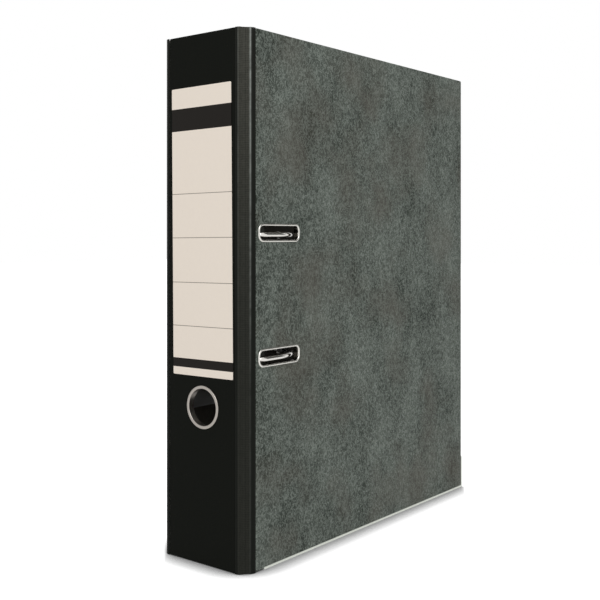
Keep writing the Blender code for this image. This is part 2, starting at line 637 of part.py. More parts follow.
# Compressor bar: a channel that slides on both posts.
low_u, high_u = POST_U - 0.5 * BAR_WIDTH, POST_U + 0.5 * BAR_WIDTH
floor_n, lip_n, sheet = BAR_REST_N + 1.2, BAR_REST_N + BAR_LIP, 1.2
channel = [(low_u, BAR_REST_N), (high_u, BAR_REST_N), (high_u, lip_n), (high_u - sheet, lip_n)]
channel += [(high_u - sheet, floor_n), (low_u + sheet, floor_n), (low_u + sheet, lip_n), (low_u, lip_n)]
bar = prism("compressor_bar", "z", channel, *across_middle(0.5 * BAR_LENGTH), (BLACK_PLASTIC, 0.0, 0.35))
for place, z in (("lower", RINGS_MID_Z - 0.5 * RING_SPACING), ("upper", RINGS_MID_Z + 0.5 * RING_SPACING)):
    bore = POST_RADIUS + 0.4
    bore_profile = [(0.0, BAR_REST_N - 3.0), (bore, BAR_REST_N - 3.0), (bore, lip_n + 3.0), (0.0, lip_n + 3.0)]
    boolean(bar, turned("bar_cut_" + place, "n", (POST_U, z), bore_profile, cutter=True, sides=24))


def pivot(name, u, n, pieces):
    """An empty on a joint's axis, which carries the pieces that turn about it."""
    empty = bpy.data.objects.new(name, None)
    empty.empty_display_size = 0.01
    empty.location = at(u, n, 0.0)
    PARTS.objects.link(empty)
    for piece in pieces:
        piece.parent = empty
        piece.matrix_parent_inverse = Matrix.Translation(-empty.location)


pivot("back_crease_axis", *COVER_PIVOT, [back_hinge])
pivot("spine_crease_axis", *SPINE_PIVOT, [*spine_sheets, label, thumb_ring, thumb_washer])
pivot("front_crease_axis", SPINE_PIVOT[0], mirrored(SPINE_PIVOT[1]), [front_hinge])
pivot("cover_crease_axis", COVER_PIVOT[0], mirrored(COVER_PIVOT[1]), [*front_sheets, front_rail, *eyelets])
pivot("arch_axis", AXLE_U, AXLE_N, [arch_wire])
pivot("lever_axis", LEVER_U, LEVER_N, [lever, grip, roller_pin])
pivot("roller_axis", ROLLER_U, ROLLER_N, [roller])
pivot("compressor_axis", POST_U, BAR_REST_N, [bar])
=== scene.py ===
"""Looks of a lever arch file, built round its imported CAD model.

Three lengths in millimetres place a point: u from the spine's outer face to the fore-edge, n from the back
cover's inner face towards the front cover, and z up from the surface that the file stands on.
"""

import logging
import math
from dataclasses import dataclass
from enum import Enum
from typing import Callable, Iterable, Sequence

import bmesh
import bpy
from mathutils import Matrix, Vector


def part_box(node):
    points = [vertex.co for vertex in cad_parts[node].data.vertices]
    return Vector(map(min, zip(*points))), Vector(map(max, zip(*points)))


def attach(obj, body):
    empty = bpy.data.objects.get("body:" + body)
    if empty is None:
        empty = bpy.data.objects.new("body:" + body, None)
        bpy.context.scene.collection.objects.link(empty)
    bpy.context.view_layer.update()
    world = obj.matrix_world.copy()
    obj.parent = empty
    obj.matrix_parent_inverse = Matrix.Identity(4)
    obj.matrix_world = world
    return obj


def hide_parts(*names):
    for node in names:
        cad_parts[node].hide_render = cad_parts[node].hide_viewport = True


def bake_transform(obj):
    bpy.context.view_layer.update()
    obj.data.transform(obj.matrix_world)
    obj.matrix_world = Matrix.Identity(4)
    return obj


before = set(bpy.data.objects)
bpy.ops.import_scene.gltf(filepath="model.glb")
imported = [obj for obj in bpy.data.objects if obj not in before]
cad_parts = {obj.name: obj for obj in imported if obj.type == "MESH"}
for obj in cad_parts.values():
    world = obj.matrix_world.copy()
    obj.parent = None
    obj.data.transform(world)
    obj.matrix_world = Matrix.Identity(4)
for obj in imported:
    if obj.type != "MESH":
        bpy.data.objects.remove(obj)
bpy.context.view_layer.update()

LOG = logging.getLogger("lever_arch_file")
MM = 0.001
FULL_TURN = 360.0
Tree = bpy.types.NodeTree
Node = bpy.types.Node
Socket = bpy.types.NodeSocket
Piece = bpy.types.Object
Value = float | Socket
Point2 = tuple[float, float]
Point3 = tuple[float, float, float]


# ---------------------------------------------------------------- places


class Axis(Enum):
    """The direction that an outline is carried along."""

    U = "u"
    N = "n"
    Z = "z"


class Side(Enum):
    """One of the two covers, named as its CAD nodes are."""

    FRONT = "front"
    BACK = "back"


@dataclass(frozen=True)
class Frame:
    """The CAD model's main planes, in millimetres in the row frame."""

    spine_x: float
    back_inner_y: float
    front_y: float
    back_y: float
    cover: float
    top_z: float

    @classmethod
    def measured(cls) -> "Frame":
        """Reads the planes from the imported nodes.

        Returns:
            The frame of this file.
        """
        back_in, back_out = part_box("back_cover_lining"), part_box("back_cover_paper")
        front_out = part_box("front_cover_paper")
        return cls(
            spine_x=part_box("spine_wrap")[0].x / MM,
            back_inner_y=back_in[0].y / MM,
            front_y=front_out[0].y / MM,
            back_y=back_out[1].y / MM,
            cover=(back_out[1].y - back_in[0].y) / MM,
            top_z=front_out[1].z / MM,
        )

    @property
    def inside(self) -> float:
        """The clear height between the two covers' inner faces."""
        return self.back_y - self.front_y - 2.0 * self.cover

    def at(self, u: float, n: float, z: float) -> Vector:
        """A point in metres in the row frame."""
        return Vector((self.spine_x + u, self.back_inner_y - n, z)) * MM

    def depth_to_n(self, side: Side, depth: float) -> float:
        """The n of a point that lies a depth below a cover's outer face."""
        return self.inside + self.cover - depth if side is Side.FRONT else depth - self.cover


FILE = Frame.measured()


# ---------------------------------------------------------------- nodes


def add(tree: Tree, kind: str, settings: dict | None = None, inputs: dict | None = None) -> Node:
    """Adds a node with its settings, values and links.

    Args:
        tree: The node tree that takes the node.
        kind: Blender's name of the node type.
        settings: Properties of the node.
        inputs: Values or linked sockets, by input name or place.

    Returns:
        The new node.
    """
    made = tree.nodes.new(kind)
    for key, value in (settings or {}).items():
        setattr(made, key, value)
    for key, value in (inputs or {}).items():
        if isinstance(value, Socket):
            tree.links.new(value, made.inputs[key])
        else:
            made.inputs[key].default_value = value
    return made


def linear(code: str) -> tuple[float, float, float, float]:
    """Turns an sRGB hex colour to linear RGBA.

    Args:
        code: Six hex digits after a number sign.

    Returns:
        Linear red, green, blue and an alpha of 1.
    """
    parts = []
    for start in (1, 3, 5):
        value = int(code[start : start + 2], 16) / 255.0
        parts.append(value / 12.92 if value <= 0.04045 else ((value + 0.055) / 1.055) ** 2.4)
    return (parts[0], parts[1], parts[2], 1.0)


@dataclass
class Nodes:
    """A node tree, with the steps that its patterns share."""

    tree: Tree

    def maths(self, operation: str, *values: Value) -> Socket:
        """One step of arithmetic."""
        return add(self.tree, "ShaderNodeMath", {"operation": operation}, dict(enumerate(values))).outputs[0]

    def ramp(self, value: Value, low: float = 0.0, high: float = 1.0, start: Value = 0.0, stop: Value = 1.0) -> Socket:
        """Takes low to start and high to stop, and holds both ends."""
        inputs = dict(enumerate((value, low, high, start, stop)))
        return add(self.tree, "ShaderNodeMapRange", inputs=inputs).outputs[0]

    def mixed(self, share: Value, first: str | Socket, second: str | Socket) -> Socket:
        """Mixes two colours, each given as a hex code or a socket."""
        ends = [linear(end) if isinstance(end, str) else end for end in (first, second)]
        return add(self.tree, "ShaderNodeMix", {"data_type": "RGBA"}, {0: share, 6: ends[0], 7: ends[1]}).outputs[2]

    def measure(self, operation: str, where: Socket, other: Vector) -> Socket:
        """A number that a vector makes with a fixed one, such as their distance."""
        settings, inputs = {"operation": operation}, {0: where, 1: tuple(other)}
        return add(self.tree, "ShaderNodeVectorMath", settings, inputs).outputs["Value"]


@dataclass
class Drawing(Nodes):
    """The nodes of one material: its shader, and the object's own coordinates in metres."""

    shader: Node
    where: Socket

    def noise(
        self, size: float, detail: float, rough: float = 0.5, twist: float = 0.0, where: Socket | None = None
    ) -> Socket:
        """Adds noise whose features are about a real size across.

        Args:
            size: Feature size in millimetres.
            detail: Octaves of finer noise.
            rough: How strong the finer noise is.
            twist: How far the noise is bent by itself.
            where: Coordinates in metres, when they aren't the object's own.

        Returns:
            The noise's value.
        """
        inputs = {"Vector": self.where if where is None else where, "Scale": 1.0 / (size * MM)}
        inputs |= {"Detail": detail, "Roughness": rough, "Distortion": twist}
        return add(self.tree, "ShaderNodeTexNoise", inputs=inputs).outputs[0]

    def stretched(self, up: float) -> Socket:
        """The object's coordinates, with patterns drawn out along z by the inverse of up."""
        return add(self.tree, "ShaderNodeMapping", inputs={0: self.where, "Scale": (1.0, 1.0, up)}).outputs[0]

    def part(self, place: int, where: Socket | None = None) -> Socket:
        """The x, y or z of the coordinates."""
        given = self.where if where is None else where
        return add(self.tree, "ShaderNodeSeparateXYZ", inputs={0: given}).outputs[place]

    def attribute(self, name: str) -> Socket:
        """A number that the mesh holds at each point."""
        return add(self.tree, "ShaderNodeAttribute", {"attribute_name": name}).outputs["Fac"]

    def feed(self, name: str, value: Socket) -> None:
        """Links a value to an input of the shader."""
        self.tree.links.new(value, self.shader.inputs[name])

    def emboss(self, height: Socket, strength: float, depth: float) -> None:
        """Gives the surface a relief, up to a depth in millimetres."""
        inputs = {"Strength": strength, "Distance": depth * MM, "Height": height}
        self.feed("Normal", add(self.tree, "ShaderNodeBump", inputs=inputs).outputs[0])


# ---------------------------------------------------------------- finishes


@dataclass(frozen=True)
class Finish:
    """A finish with one colour, which the kinds below add their own pattern to."""

    name: str
    colour: str
    roughness: float = 0.5
    metallic: float = 0.0
    specular: float = 0.5

    def build(self) -> bpy.types.Material:
        """Makes the material, or returns the one made before.

        Returns:
            The material with this finish's name.
        """
        known = bpy.data.materials.get(self.name)
        if known is not None:
            return known
        made = bpy.data.materials.new(self.name)
        made.use_nodes = True
        tree = made.node_tree
        tree.nodes.clear()
        made.diffuse_color = linear(self.colour)
        inputs = {"Base Color": linear(self.colour), "Roughness": self.roughness, "Metallic": self.metallic}
        shader = add(tree, "ShaderNodeBsdfPrincipled", inputs=inputs | {"Specular IOR Level": self.specular})
        add(tree, "ShaderNodeOutputMaterial", inputs={0: shader.outputs[0]})
        self.dress(Drawing(tree, shader, add(tree, "ShaderNodeTexCoord").outputs["Object"]))
        return made

    def dress(self, draw: Drawing) -> None:
        """Draws the finish's own pattern.  A plain finish has none."""


@dataclass(frozen=True)
class MarbledPaper(Finish):
    """Cloud-marbled cover paper, embossed and varnished: soft grey-green clouds under a wormy leather grain.

    A layer is its feature size in millimetres, its share of the tone, and what is taken off to keep the level.
    """

    dark: str = "#2B312B"
    light: str = "#8A928A"
    warm: str = "#57524A"
    level: float = 0.31
    clouds: Point3 = (34.0, 0.7, 0.35)
    mottle: Point3 = (7.0, 0.4, 0.2)
    grain: Point3 = (2.0, 0.55, 0.15)
    cloud_stretch: float = 0.55
    grain_stretch: float = 0.7
    ridge_width: float = 0.085
    warm_size: float = 48.0
    warm_from: float = 0.47
    warm_to: float = 0.7
    warm_share: float = 0.45

    def dress(self, draw: Drawing) -> None:
        """Mixes clouds, mottle and grain into one tone, and embosses the grain.

        Args:
            draw: The material's nodes.
        """
        clouds = draw.noise(self.clouds[0], 4.0, 0.6, where=draw.stretched(self.cloud_stretch))
        mottle = draw.noise(self.mottle[0], 3.0, 0.65)
        worms = draw.noise(self.grain[0], 1.5, 0.5, 1.0, draw.stretched(self.grain_stretch))
        from_middle = draw.maths("ABSOLUTE", draw.maths("SUBTRACT", worms, 0.5))
        ridge = draw.ramp(from_middle, 0.0, self.ridge_width, 1.0, 0.0)
        tone: Value = self.level
        for value, (_, share, rest) in ((clouds, self.clouds), (mottle, self.mottle), (ridge, self.grain)):
            tone = draw.maths("MULTIPLY_ADD", value, share, draw.maths("SUBTRACT", tone, rest))
        tone = add(draw.tree, "ShaderNodeClamp", inputs={0: tone}).outputs[0]
        hue = draw.ramp(draw.noise(self.warm_size, 2.0), self.warm_from, self.warm_to, 0.0, self.warm_share)
        draw.feed("Base Color", draw.mixed(hue, draw.mixed(tone, self.dark, self.light), self.warm))
        draw.emboss(ridge, 0.5, 0.2)


@dataclass(frozen=True)
class BookCloth(Finish):
    """Coated woven bookcloth: matt black with a crossed thread relief."""

    thread: float = 1.1  # Real threads are 0.4 mm apart: drawn coarser so that they show.
    columns: float = 0.8  # Threads across for each thread up.
    relief: float = 0.3
    light: str = "#2C2D2A"
    low: float = -0.9
    high: float = 2.2

    def weave(self, draw: Drawing) -> Socket:
        """Crosses two sets of threads and adds their slubs.

        Args:
            draw: The material's nodes.

        Returns:
            The cloth's height, from about low to high.
        """
        period = 2.0 * math.pi / (self.thread * MM)
        wander = draw.maths("MULTIPLY", draw.noise(4.0, 2.0), 5.0)
        rows = draw.maths("SINE", draw.maths("MULTIPLY_ADD", draw.part(2), period, wander))
        flat = draw.maths("SUBTRACT", draw.part(0), draw.part(1))
        columns = draw.maths("SINE", draw.maths("MULTIPLY_ADD", flat, self.columns * period, wander))
        crossed = draw.maths("MULTIPLY_ADD", columns, 0.45, draw.maths("MULTIPLY", rows, 0.45))
        return draw.maths("MULTIPLY_ADD", draw.noise(2.5, 3.0, 0.65), 1.6, crossed)

    def tone(self, draw: Drawing, share: Socket) -> Socket:
        """The cloth's colour, where share says how far its threads show."""
        return draw.mixed(share, self.colour, self.light)

    def dress(self, draw: Drawing) -> None:
        """Weaves the threads into the colour and the relief.

        Args:
            draw: The material's nodes.
        """
        height = self.weave(draw)
        draw.feed("Base Color", self.tone(draw, draw.ramp(height, self.low, self.high)))
        draw.emboss(height, self.relief, 0.12)


@dataclass(frozen=True)
class PaintedLightCloth(BookCloth):
    """Bookcloth over a hinge, with painted light: the threads on the hinge strip are painted lighter, more so towards
    the top, as if lit from above.

    The mesh says where, in two point attributes: one on the strip whose threads are painted lit, and one along the
    ridges, which take a painted highlight.
    """

    # The ridges' painted highlight colour; the painted top light, which grows over a band of heights in millimetres
    # from its least share at the bottom; and how the ridge highlight rises with height.
    highlight_colour: str = "#A4A8A3"
    top_light_from: float = 120.0
    top_light_to: float = 345.0
    bottom_light: float = 0.45
    highlight_rise: Point2 = (0.85, 0.06)

    def tone(self, draw: Drawing, share: Socket) -> Socket:
        """Paints light on the lit strip's threads and a painted highlight on the ridges.

        Args:
            draw: The material's nodes.
            share: How far the threads show.

        Returns:
            The cloth's colour.
        """
        # Painted light: the lit strip's threads get lighter towards the top, and the ridges take a painted highlight
        # that is stronger higher up.
        high = draw.ramp(draw.part(2), self.top_light_from * MM, self.top_light_to * MM)
        grown = draw.maths("ADD", draw.maths("POWER", high, 1.5), self.bottom_light)
        shown = draw.maths("MULTIPLY", draw.maths("MULTIPLY", share, draw.attribute("lit_strip")), grown)
        uneven = draw.ramp(draw.noise(5.0, 3.0), 0.3, 0.6, 0.5, 1.0)
        amount = draw.maths("MULTIPLY", draw.attribute("ridge_highlight"), draw.maths("MULTIPLY_ADD", high, *self.highlight_rise))
        return draw.mixed(draw.maths("MULTIPLY", amount, uneven), super().tone(draw, shown), self.highlight_colour)


@dataclass(frozen=True)
class PrintedLabel(Finish):
    """Uncoated label stock, offset printed: warm white with two black bands and four thin rules.

    Bands and rules are placed by their distance from the label's upper edge, in millimetres.
    """

    ink: str = "#1D1A17"
    rule: str = "#8C857C"
    fibre: str = "#CFC3B4"
    turn: float = 0.5
    middle: Point2 = (0.0, 0.0)
    height: float = 188.9
    bands: tuple[Point2, ...] = ((13.5, 28.3), (178.0, 183.9))
    rules: tuple[float, ...] = (69.8, 98.7, 128.0, 156.6)
    rule_width: float = 0.45

    def printed(self, draw: Drawing, down: Socket, places: Iterable[Point2]) -> Value:
        """1 within half a width of any of some places down the label, and 0 elsewhere.

        Args:
            draw: The material's nodes.
            down: The distance from the upper edge.
            places: Each place's middle and half width.

        Returns:
            The share of ink.
        """
        ink: Value = 0.0
        for middle, half in places:
            ink = draw.maths("MAXIMUM", ink, draw.maths("COMPARE", down, middle, half))
        return ink

    def dress(self, draw: Drawing) -> None:
        """Turns the coordinates to the label's own, and prints the bands and rules.

        Args:
            draw: The material's nodes.
        """
        shift = tuple(-value * MM for value in (0.0, *self.middle))
        moved = add(draw.tree, "ShaderNodeMapping", inputs={0: draw.where, "Location": shift}).outputs[0]
        inputs = {0: moved, "Scale": (1.0 / MM,) * 3, "Rotation": (math.radians(self.turn), 0.0, 0.0)}
        height = draw.part(2, add(draw.tree, "ShaderNodeMapping", inputs=inputs).outputs[0])
        down = draw.maths("SUBTRACT", 0.5 * self.height, height)
        band = self.printed(draw, down, [(0.5 * (low + high), 0.5 * (high - low)) for low, high in self.bands])
        line = self.printed(draw, down, [(place, 0.5 * self.rule_width) for place in self.rules])
        fibre = draw.noise(3.0, 4.0, 0.7)
        paper = draw.mixed(draw.maths("MULTIPLY", fibre, 0.12), self.colour, self.fibre)
        draw.feed("Base Color", draw.mixed(band, draw.mixed(line, paper, self.rule), self.ink))
        draw.emboss(fibre, 0.1, 0.05)


@dataclass(frozen=True)
class FibrePaper(Finish):
    """Uncoated paper or grey board: short fibres give a faint, even mottle."""

    other: str = "#A9A8A2"
    fibre: float = 1.2
    stretch: float = 0.45

    def dress(self, draw: Drawing) -> None:
        """Mottles the colour with fibres and gives them a slight relief.

        Args:
            draw: The material's nodes.
        """
        fibre = draw.noise(self.fibre, 3.0, 0.65, where=draw.stretched(self.stretch))
        draw.feed("Base Color", draw.mixed(draw.ramp(fibre, 0.35, 0.7), self.colour, self.other))
        draw.emboss(fibre, 0.2, 0.1)


@dataclass(frozen=True)
class PlatedSteel(Finish):
    """Nickel- or zinc-plated steel: a bright skin with faint drawing lines and uneven gloss."""

    lines: float = 0.35
    stretch: float = 0.06
    patches: float = 6.0

    def dress(self, draw: Drawing) -> None:
        """Varies the gloss along the drawing lines and adds their slight relief.

        Args:
            draw: The material's nodes.
        """
        drawn = draw.noise(self.lines, 2.0, where=draw.stretched(self.stretch))
        spread = draw.maths("MULTIPLY_ADD", draw.noise(self.patches, 3.0), 0.16, self.roughness - 0.08)
        draw.feed("Roughness", draw.maths("MULTIPLY_ADD", drawn, 0.08, spread))
        draw.emboss(drawn, 0.08, 0.02)


@dataclass(frozen=True)
class RimSteel(PlatedSteel):
    """Bright nickel on a pressed rim, whose tube inside the cover is painted dark: painted shade for the inside of the
    closed file.
    """

    # The colour of the tube's painted shade.
    tube: str = "#3A3834"
    edge_n: float = 74.2

    def dress(self, draw: Drawing) -> None:
        """Paints shade: darkens the metal below the cover's outer face.

        Args:
            draw: The material's nodes.
        """
        super().dress(draw)
        edge = FILE.at(0.0, self.edge_n, 0.0).y
        share = draw.ramp(draw.part(1), edge - 0.1 * MM, edge + 0.5 * MM)
        draw.feed("Base Color", draw.mixed(share, self.colour, self.tube))


@dataclass(frozen=True)
class MouldedPlastic(Finish):
    """Injection-moulded ABS: near black with a fine spark-eroded texture."""

    texture: float = 0.6

    def dress(self, draw: Drawing) -> None:
        """Adds the mould's fine texture to the gloss and the relief.

        Args:
            draw: The material's nodes.
        """
        texture = draw.noise(self.texture, 2.0)
        draw.feed("Roughness", draw.maths("MULTIPLY_ADD", texture, 0.2, self.roughness - 0.1))
        draw.emboss(texture, 0.15, 0.04)


COVER_PAPER = MarbledPaper("marbled_cover_paper", "#565A54", roughness=0.6, specular=0.12)
SPINE_CLOTH = BookCloth("coated_spine_cloth", "#121411", roughness=0.65, specular=0.02, relief=0.12, light="#191A17")
# The hinge cloth is black like the spine; its lighter thread colour is painted light, for the strip that catches the
# light.
HINGE_CLOTH = PaintedLightCloth("woven_hinge_cloth", "#131512", roughness=0.55, specular=0.05, light="#45453F")
# Painted shade: the lining is made dark grey so that the inside of the closed file looks as dark as its shade.
LINING_PAPER = FibrePaper("lining_paper_darkened_as_shade", "#56524A", roughness=0.8, specular=0.2, other="#4A463F")
GREY_BOARD = FibrePaper("grey_bookbinding_board", "#8F8C85", roughness=0.9, specular=0.2, other="#76736C")
NICKEL = PlatedSteel("nickel_plated_steel", "#A6A099", roughness=0.3, metallic=1.0)
BRIGHT = RimSteel("pressed_bright_nickel", "#DAD8D2", roughness=0.24, metallic=1.0)
CHROME = PlatedSteel("bright_nickel_wire", "#D8D6D1", roughness=0.12, metallic=1.0)
ZINC = PlatedSteel("zinc_plated_sheet", "#B9BBBB", roughness=0.34, metallic=1.0)
RAIL_STEEL = PlatedSteel("tinned_edge_strip", "#D0D3CB", roughness=0.3, metallic=1.0)
BLACK_ABS = MouldedPlastic("black_moulded_plastic", "#141415", roughness=0.42)
LABEL_STOCK = PrintedLabel("printed_label_stock", "#F1E6D9", roughness=0.6, specular=0.1, middle=(0.6, 216.4))


# ---------------------------------------------------------------- mesh helpers


def linked(name: str, mesh: bpy.types.Mesh) -> Piece:
    """An object of a mesh, put in the scene."""
    made = bpy.data.objects.new(name, mesh)
    bpy.context.scene.collection.objects.link(made)
    return made


def settle(piece: Piece) -> Piece:
    """Turns an object's modifiers into plain mesh.

    Args:
        piece: The object, at the origin.

    Returns:
        The same object, with no modifier left.
    """
    bpy.context.view_layer.update()
    graph = bpy.context.evaluated_depsgraph_get()
    made = bpy.data.meshes.new_from_object(piece.evaluated_get(graph))
    old = piece.data
    piece.modifiers.clear()
    piece.data = made
    made.name = piece.name
    bpy.data.meshes.remove(old)
    return piece


def shade(piece: Piece, smooth: float = 35.0) -> Piece:
    """Shades a piece smoothly, apart from its sharper edges.

    Args:
        piece: The piece.
        smooth: Edges sharper than this angle, in degrees, stay sharp.

    Returns:
        The same piece, whose flat faces stay flat beside their rounded edges.
    """
    piece.data.polygons.foreach_set("use_smooth", [True] * len(piece.data.polygons))
    piece.data.set_sharp_from_angle(angle=math.radians(smooth))
    piece.modifiers.new("flat_faces_stay_flat", "WEIGHTED_NORMAL").keep_sharp = True
    return settle(piece)


def solid(
    name: str, points: Iterable[Point3], faces: Sequence[Sequence[int]], finish: Finish, smooth: float = 35.0
) -> Piece:
    """Makes a closed mesh from (u, n, z) points.

    Args:
        name: The piece's name.
        points: Places in millimetres.
        faces: Point numbers of each face.
        finish: The finish it is made in.
        smooth: Edges sharper than this angle, in degrees, stay sharp.

    Returns:
        The object, at the origin, with its faces outward.
    """
    mesh = bpy.data.meshes.new(name)
    mesh.from_pydata([FILE.at(*point) for point in points], [], [list(face) for face in faces])
    shape = bmesh.new()
    shape.from_mesh(mesh)
    bmesh.ops.recalc_face_normals(shape, faces=shape.faces)
    shape.to_mesh(mesh)
    shape.free()
    mesh.materials.append(finish.build())
    return shade(linked(name, mesh), smooth)


def ring_faces(first: int, second: int, count: int) -> list[list[int]]:
    """Four-cornered faces between two rings of points.

    Args:
        first: The first ring's first point.
        second: The second ring's first point.
        count: How many points each ring has.

    Returns:
        The faces, as point numbers.
    """
    following = [(k, (k + 1) % count) for k in range(count)]
    return [[first + k, first + m, second + m, second + k] for k, m in following]


def plane_point(axis: Axis, a: float, b: float, height: float) -> Point3:
    """(u, n, z) of a point in the plane across an axis, at a height along it."""
    return {Axis.Z: (a, b, height), Axis.N: (a, height, b), Axis.U: (height, a, b)}[axis]


def prism(name: str, axis: Axis, outline: Sequence[Point2], low: float, high: float, finish: Finish) -> Piece:
    """Carries an outline along an axis from low to high.

    Args:
        name: The piece's name.
        axis: The direction it is carried in.
        outline: Corners in the plane across the axis.
        low: Where it starts.
        high: Where it ends.
        finish: The finish it is made in.

    Returns:
        The prism.
    """
    count = len(outline)
    points = [plane_point(axis, a, b, height) for height in (low, high) for a, b in outline]
    ends = [list(range(count)), list(range(2 * count - 1, count - 1, -1))]
    return solid(name, points, ends + ring_faces(0, count, count), finish)


def arc(centre: Sequence[float], radius: float, start: float, stop: float, steps: int) -> list[Point2]:
    """Points on an arc, with its angles in degrees."""
    turns = [math.radians(start + (stop - start) * k / steps) for k in range(steps + 1)]
    return [(centre[0] + radius * math.cos(t), centre[1] + radius * math.sin(t)) for t in turns]


def circle(centre: Sequence[float], radius: float, sides: int) -> list[Point2]:
    """A round outline."""
    return arc(centre, radius, 0.0, FULL_TURN, sides)[:-1]


def rectangle(low: Point2, high: Point2, corner: float, steps: int = 6) -> list[Point2]:
    """A rectangle's outline with round corners.

    Args:
        low: Its lowest corner.
        high: Its highest corner.
        corner: The corners' radius.
        steps: Steps round each corner.

    Returns:
        The outline, from the low side's far end.
    """
    outline = arc((high[0] - corner, low[1] + corner), corner, -90.0, 0.0, steps)
    outline += arc((high[0] - corner, high[1] - corner), corner, 0.0, 90.0, steps)
    outline += arc((low[0] + corner, high[1] - corner), corner, 90.0, 180.0, steps)
    return outline + arc((low[0] + corner, low[1] + corner), corner, 180.0, 270.0, steps)


def bevelled(piece: Piece, width: float, segments: int = 3, angle: float = 40.0) -> Piece:
    """Rounds a piece's sharp edges.

    Args:
        piece: The piece.
        width: How wide the rounding is, in millimetres.
        segments: Steps across it.
        angle: Edges sharper than this, in degrees, are rounded.

    Returns:
        The same piece.
    """
    step = piece.modifiers.new("rounded_edges", "BEVEL")
    step.width = width * MM
    step.segments = segments
    step.limit_method = "ANGLE"
    step.angle_limit = math.radians(angle)
    step.harden_normals = False
    return settle(piece)


def cut(piece: Piece, axis: Axis, outline: Sequence[Point2], low: float, high: float) -> Piece:
    """Cuts a prism out of a piece.

    Args:
        piece: The piece that is cut.
        axis: The cut's direction.
        outline: The cut's corners in the plane across the axis.
        low: Where the cut starts.
        high: Where it ends.

    Returns:
        The same piece.
    """
    cutter = prism("cutter", axis, outline, low, high, GREY_BOARD)
    step = piece.modifiers.new("cut", "BOOLEAN")
    step.operation = "DIFFERENCE"
    step.solver = "EXACT"
    step.object = cutter
    settle(piece)
    bpy.data.objects.remove(cutter)
    return piece


def lathe(
    name: str, axis: Axis, centre: Point2, profile: Sequence[Point2], finish: Finish, sides: int = 48
) -> Piece:
    """Turns a profile of (radius, height) about an axis.

    Args:
        name: The piece's name.
        axis: The direction of the axis.
        centre: Where the axis is.
        profile: It starts and ends on the axis, or is a closed loop.
        finish: The finish it is made in.
        sides: Flats round the axis.

    Returns:
        The turned piece.
    """
    points: list[Point3] = []
    rows: list[list[int]] = []
    for radius, height in profile:
        if radius == 0.0:
            rows.append([len(points)] * sides)
            points.append(plane_point(axis, *centre, height))
            continue
        rows.append(list(range(len(points), len(points) + sides)))
        points += [plane_point(axis, a, b, height) for a, b in circle(centre, radius, sides)]
    pairs = list(zip(rows, rows[1:]))
    if profile[0][0] > 0.0:
        pairs.append((rows[-1], rows[0]))
    faces = []
    for first, second in pairs:
        for k in range(sides):
            m = (k + 1) % sides
            faces.append(list(dict.fromkeys([first[k], first[m], second[m], second[k]])))
    return solid(name, points, faces, finish)


def fitted(piece: Piece, body: str, slot: str, *nodes: str) -> Piece:
    """Hangs a finished piece on its body in place of its CAD nodes.

    Args:
        piece: The finished piece.
        body: The body that carries it.
        slot: The record's material slot; not used.
        nodes: The CAD nodes that it stands for.

    Returns:
        The piece.
    """
    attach(piece, body)
    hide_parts(*nodes)
    return piece


# ---------------------------------------------------------------- hinges


class Crease(Enum):
    """The half of a hinge cloth: over the crease at the spine, or over the one at the cover."""

    SPINE = "spine"
    COVER = "cover"


class Face(Enum):
    """The outside or the inside of the file."""

    OUTER = "outer"
    INNER = "inner"


def heading(line: Sequence[Vector], place: int) -> Vector:
    """The direction of a line at one of its points."""
    return (line[min(place + 1, len(line) - 1)] - line[max(place - 1, 0)]).normalized()


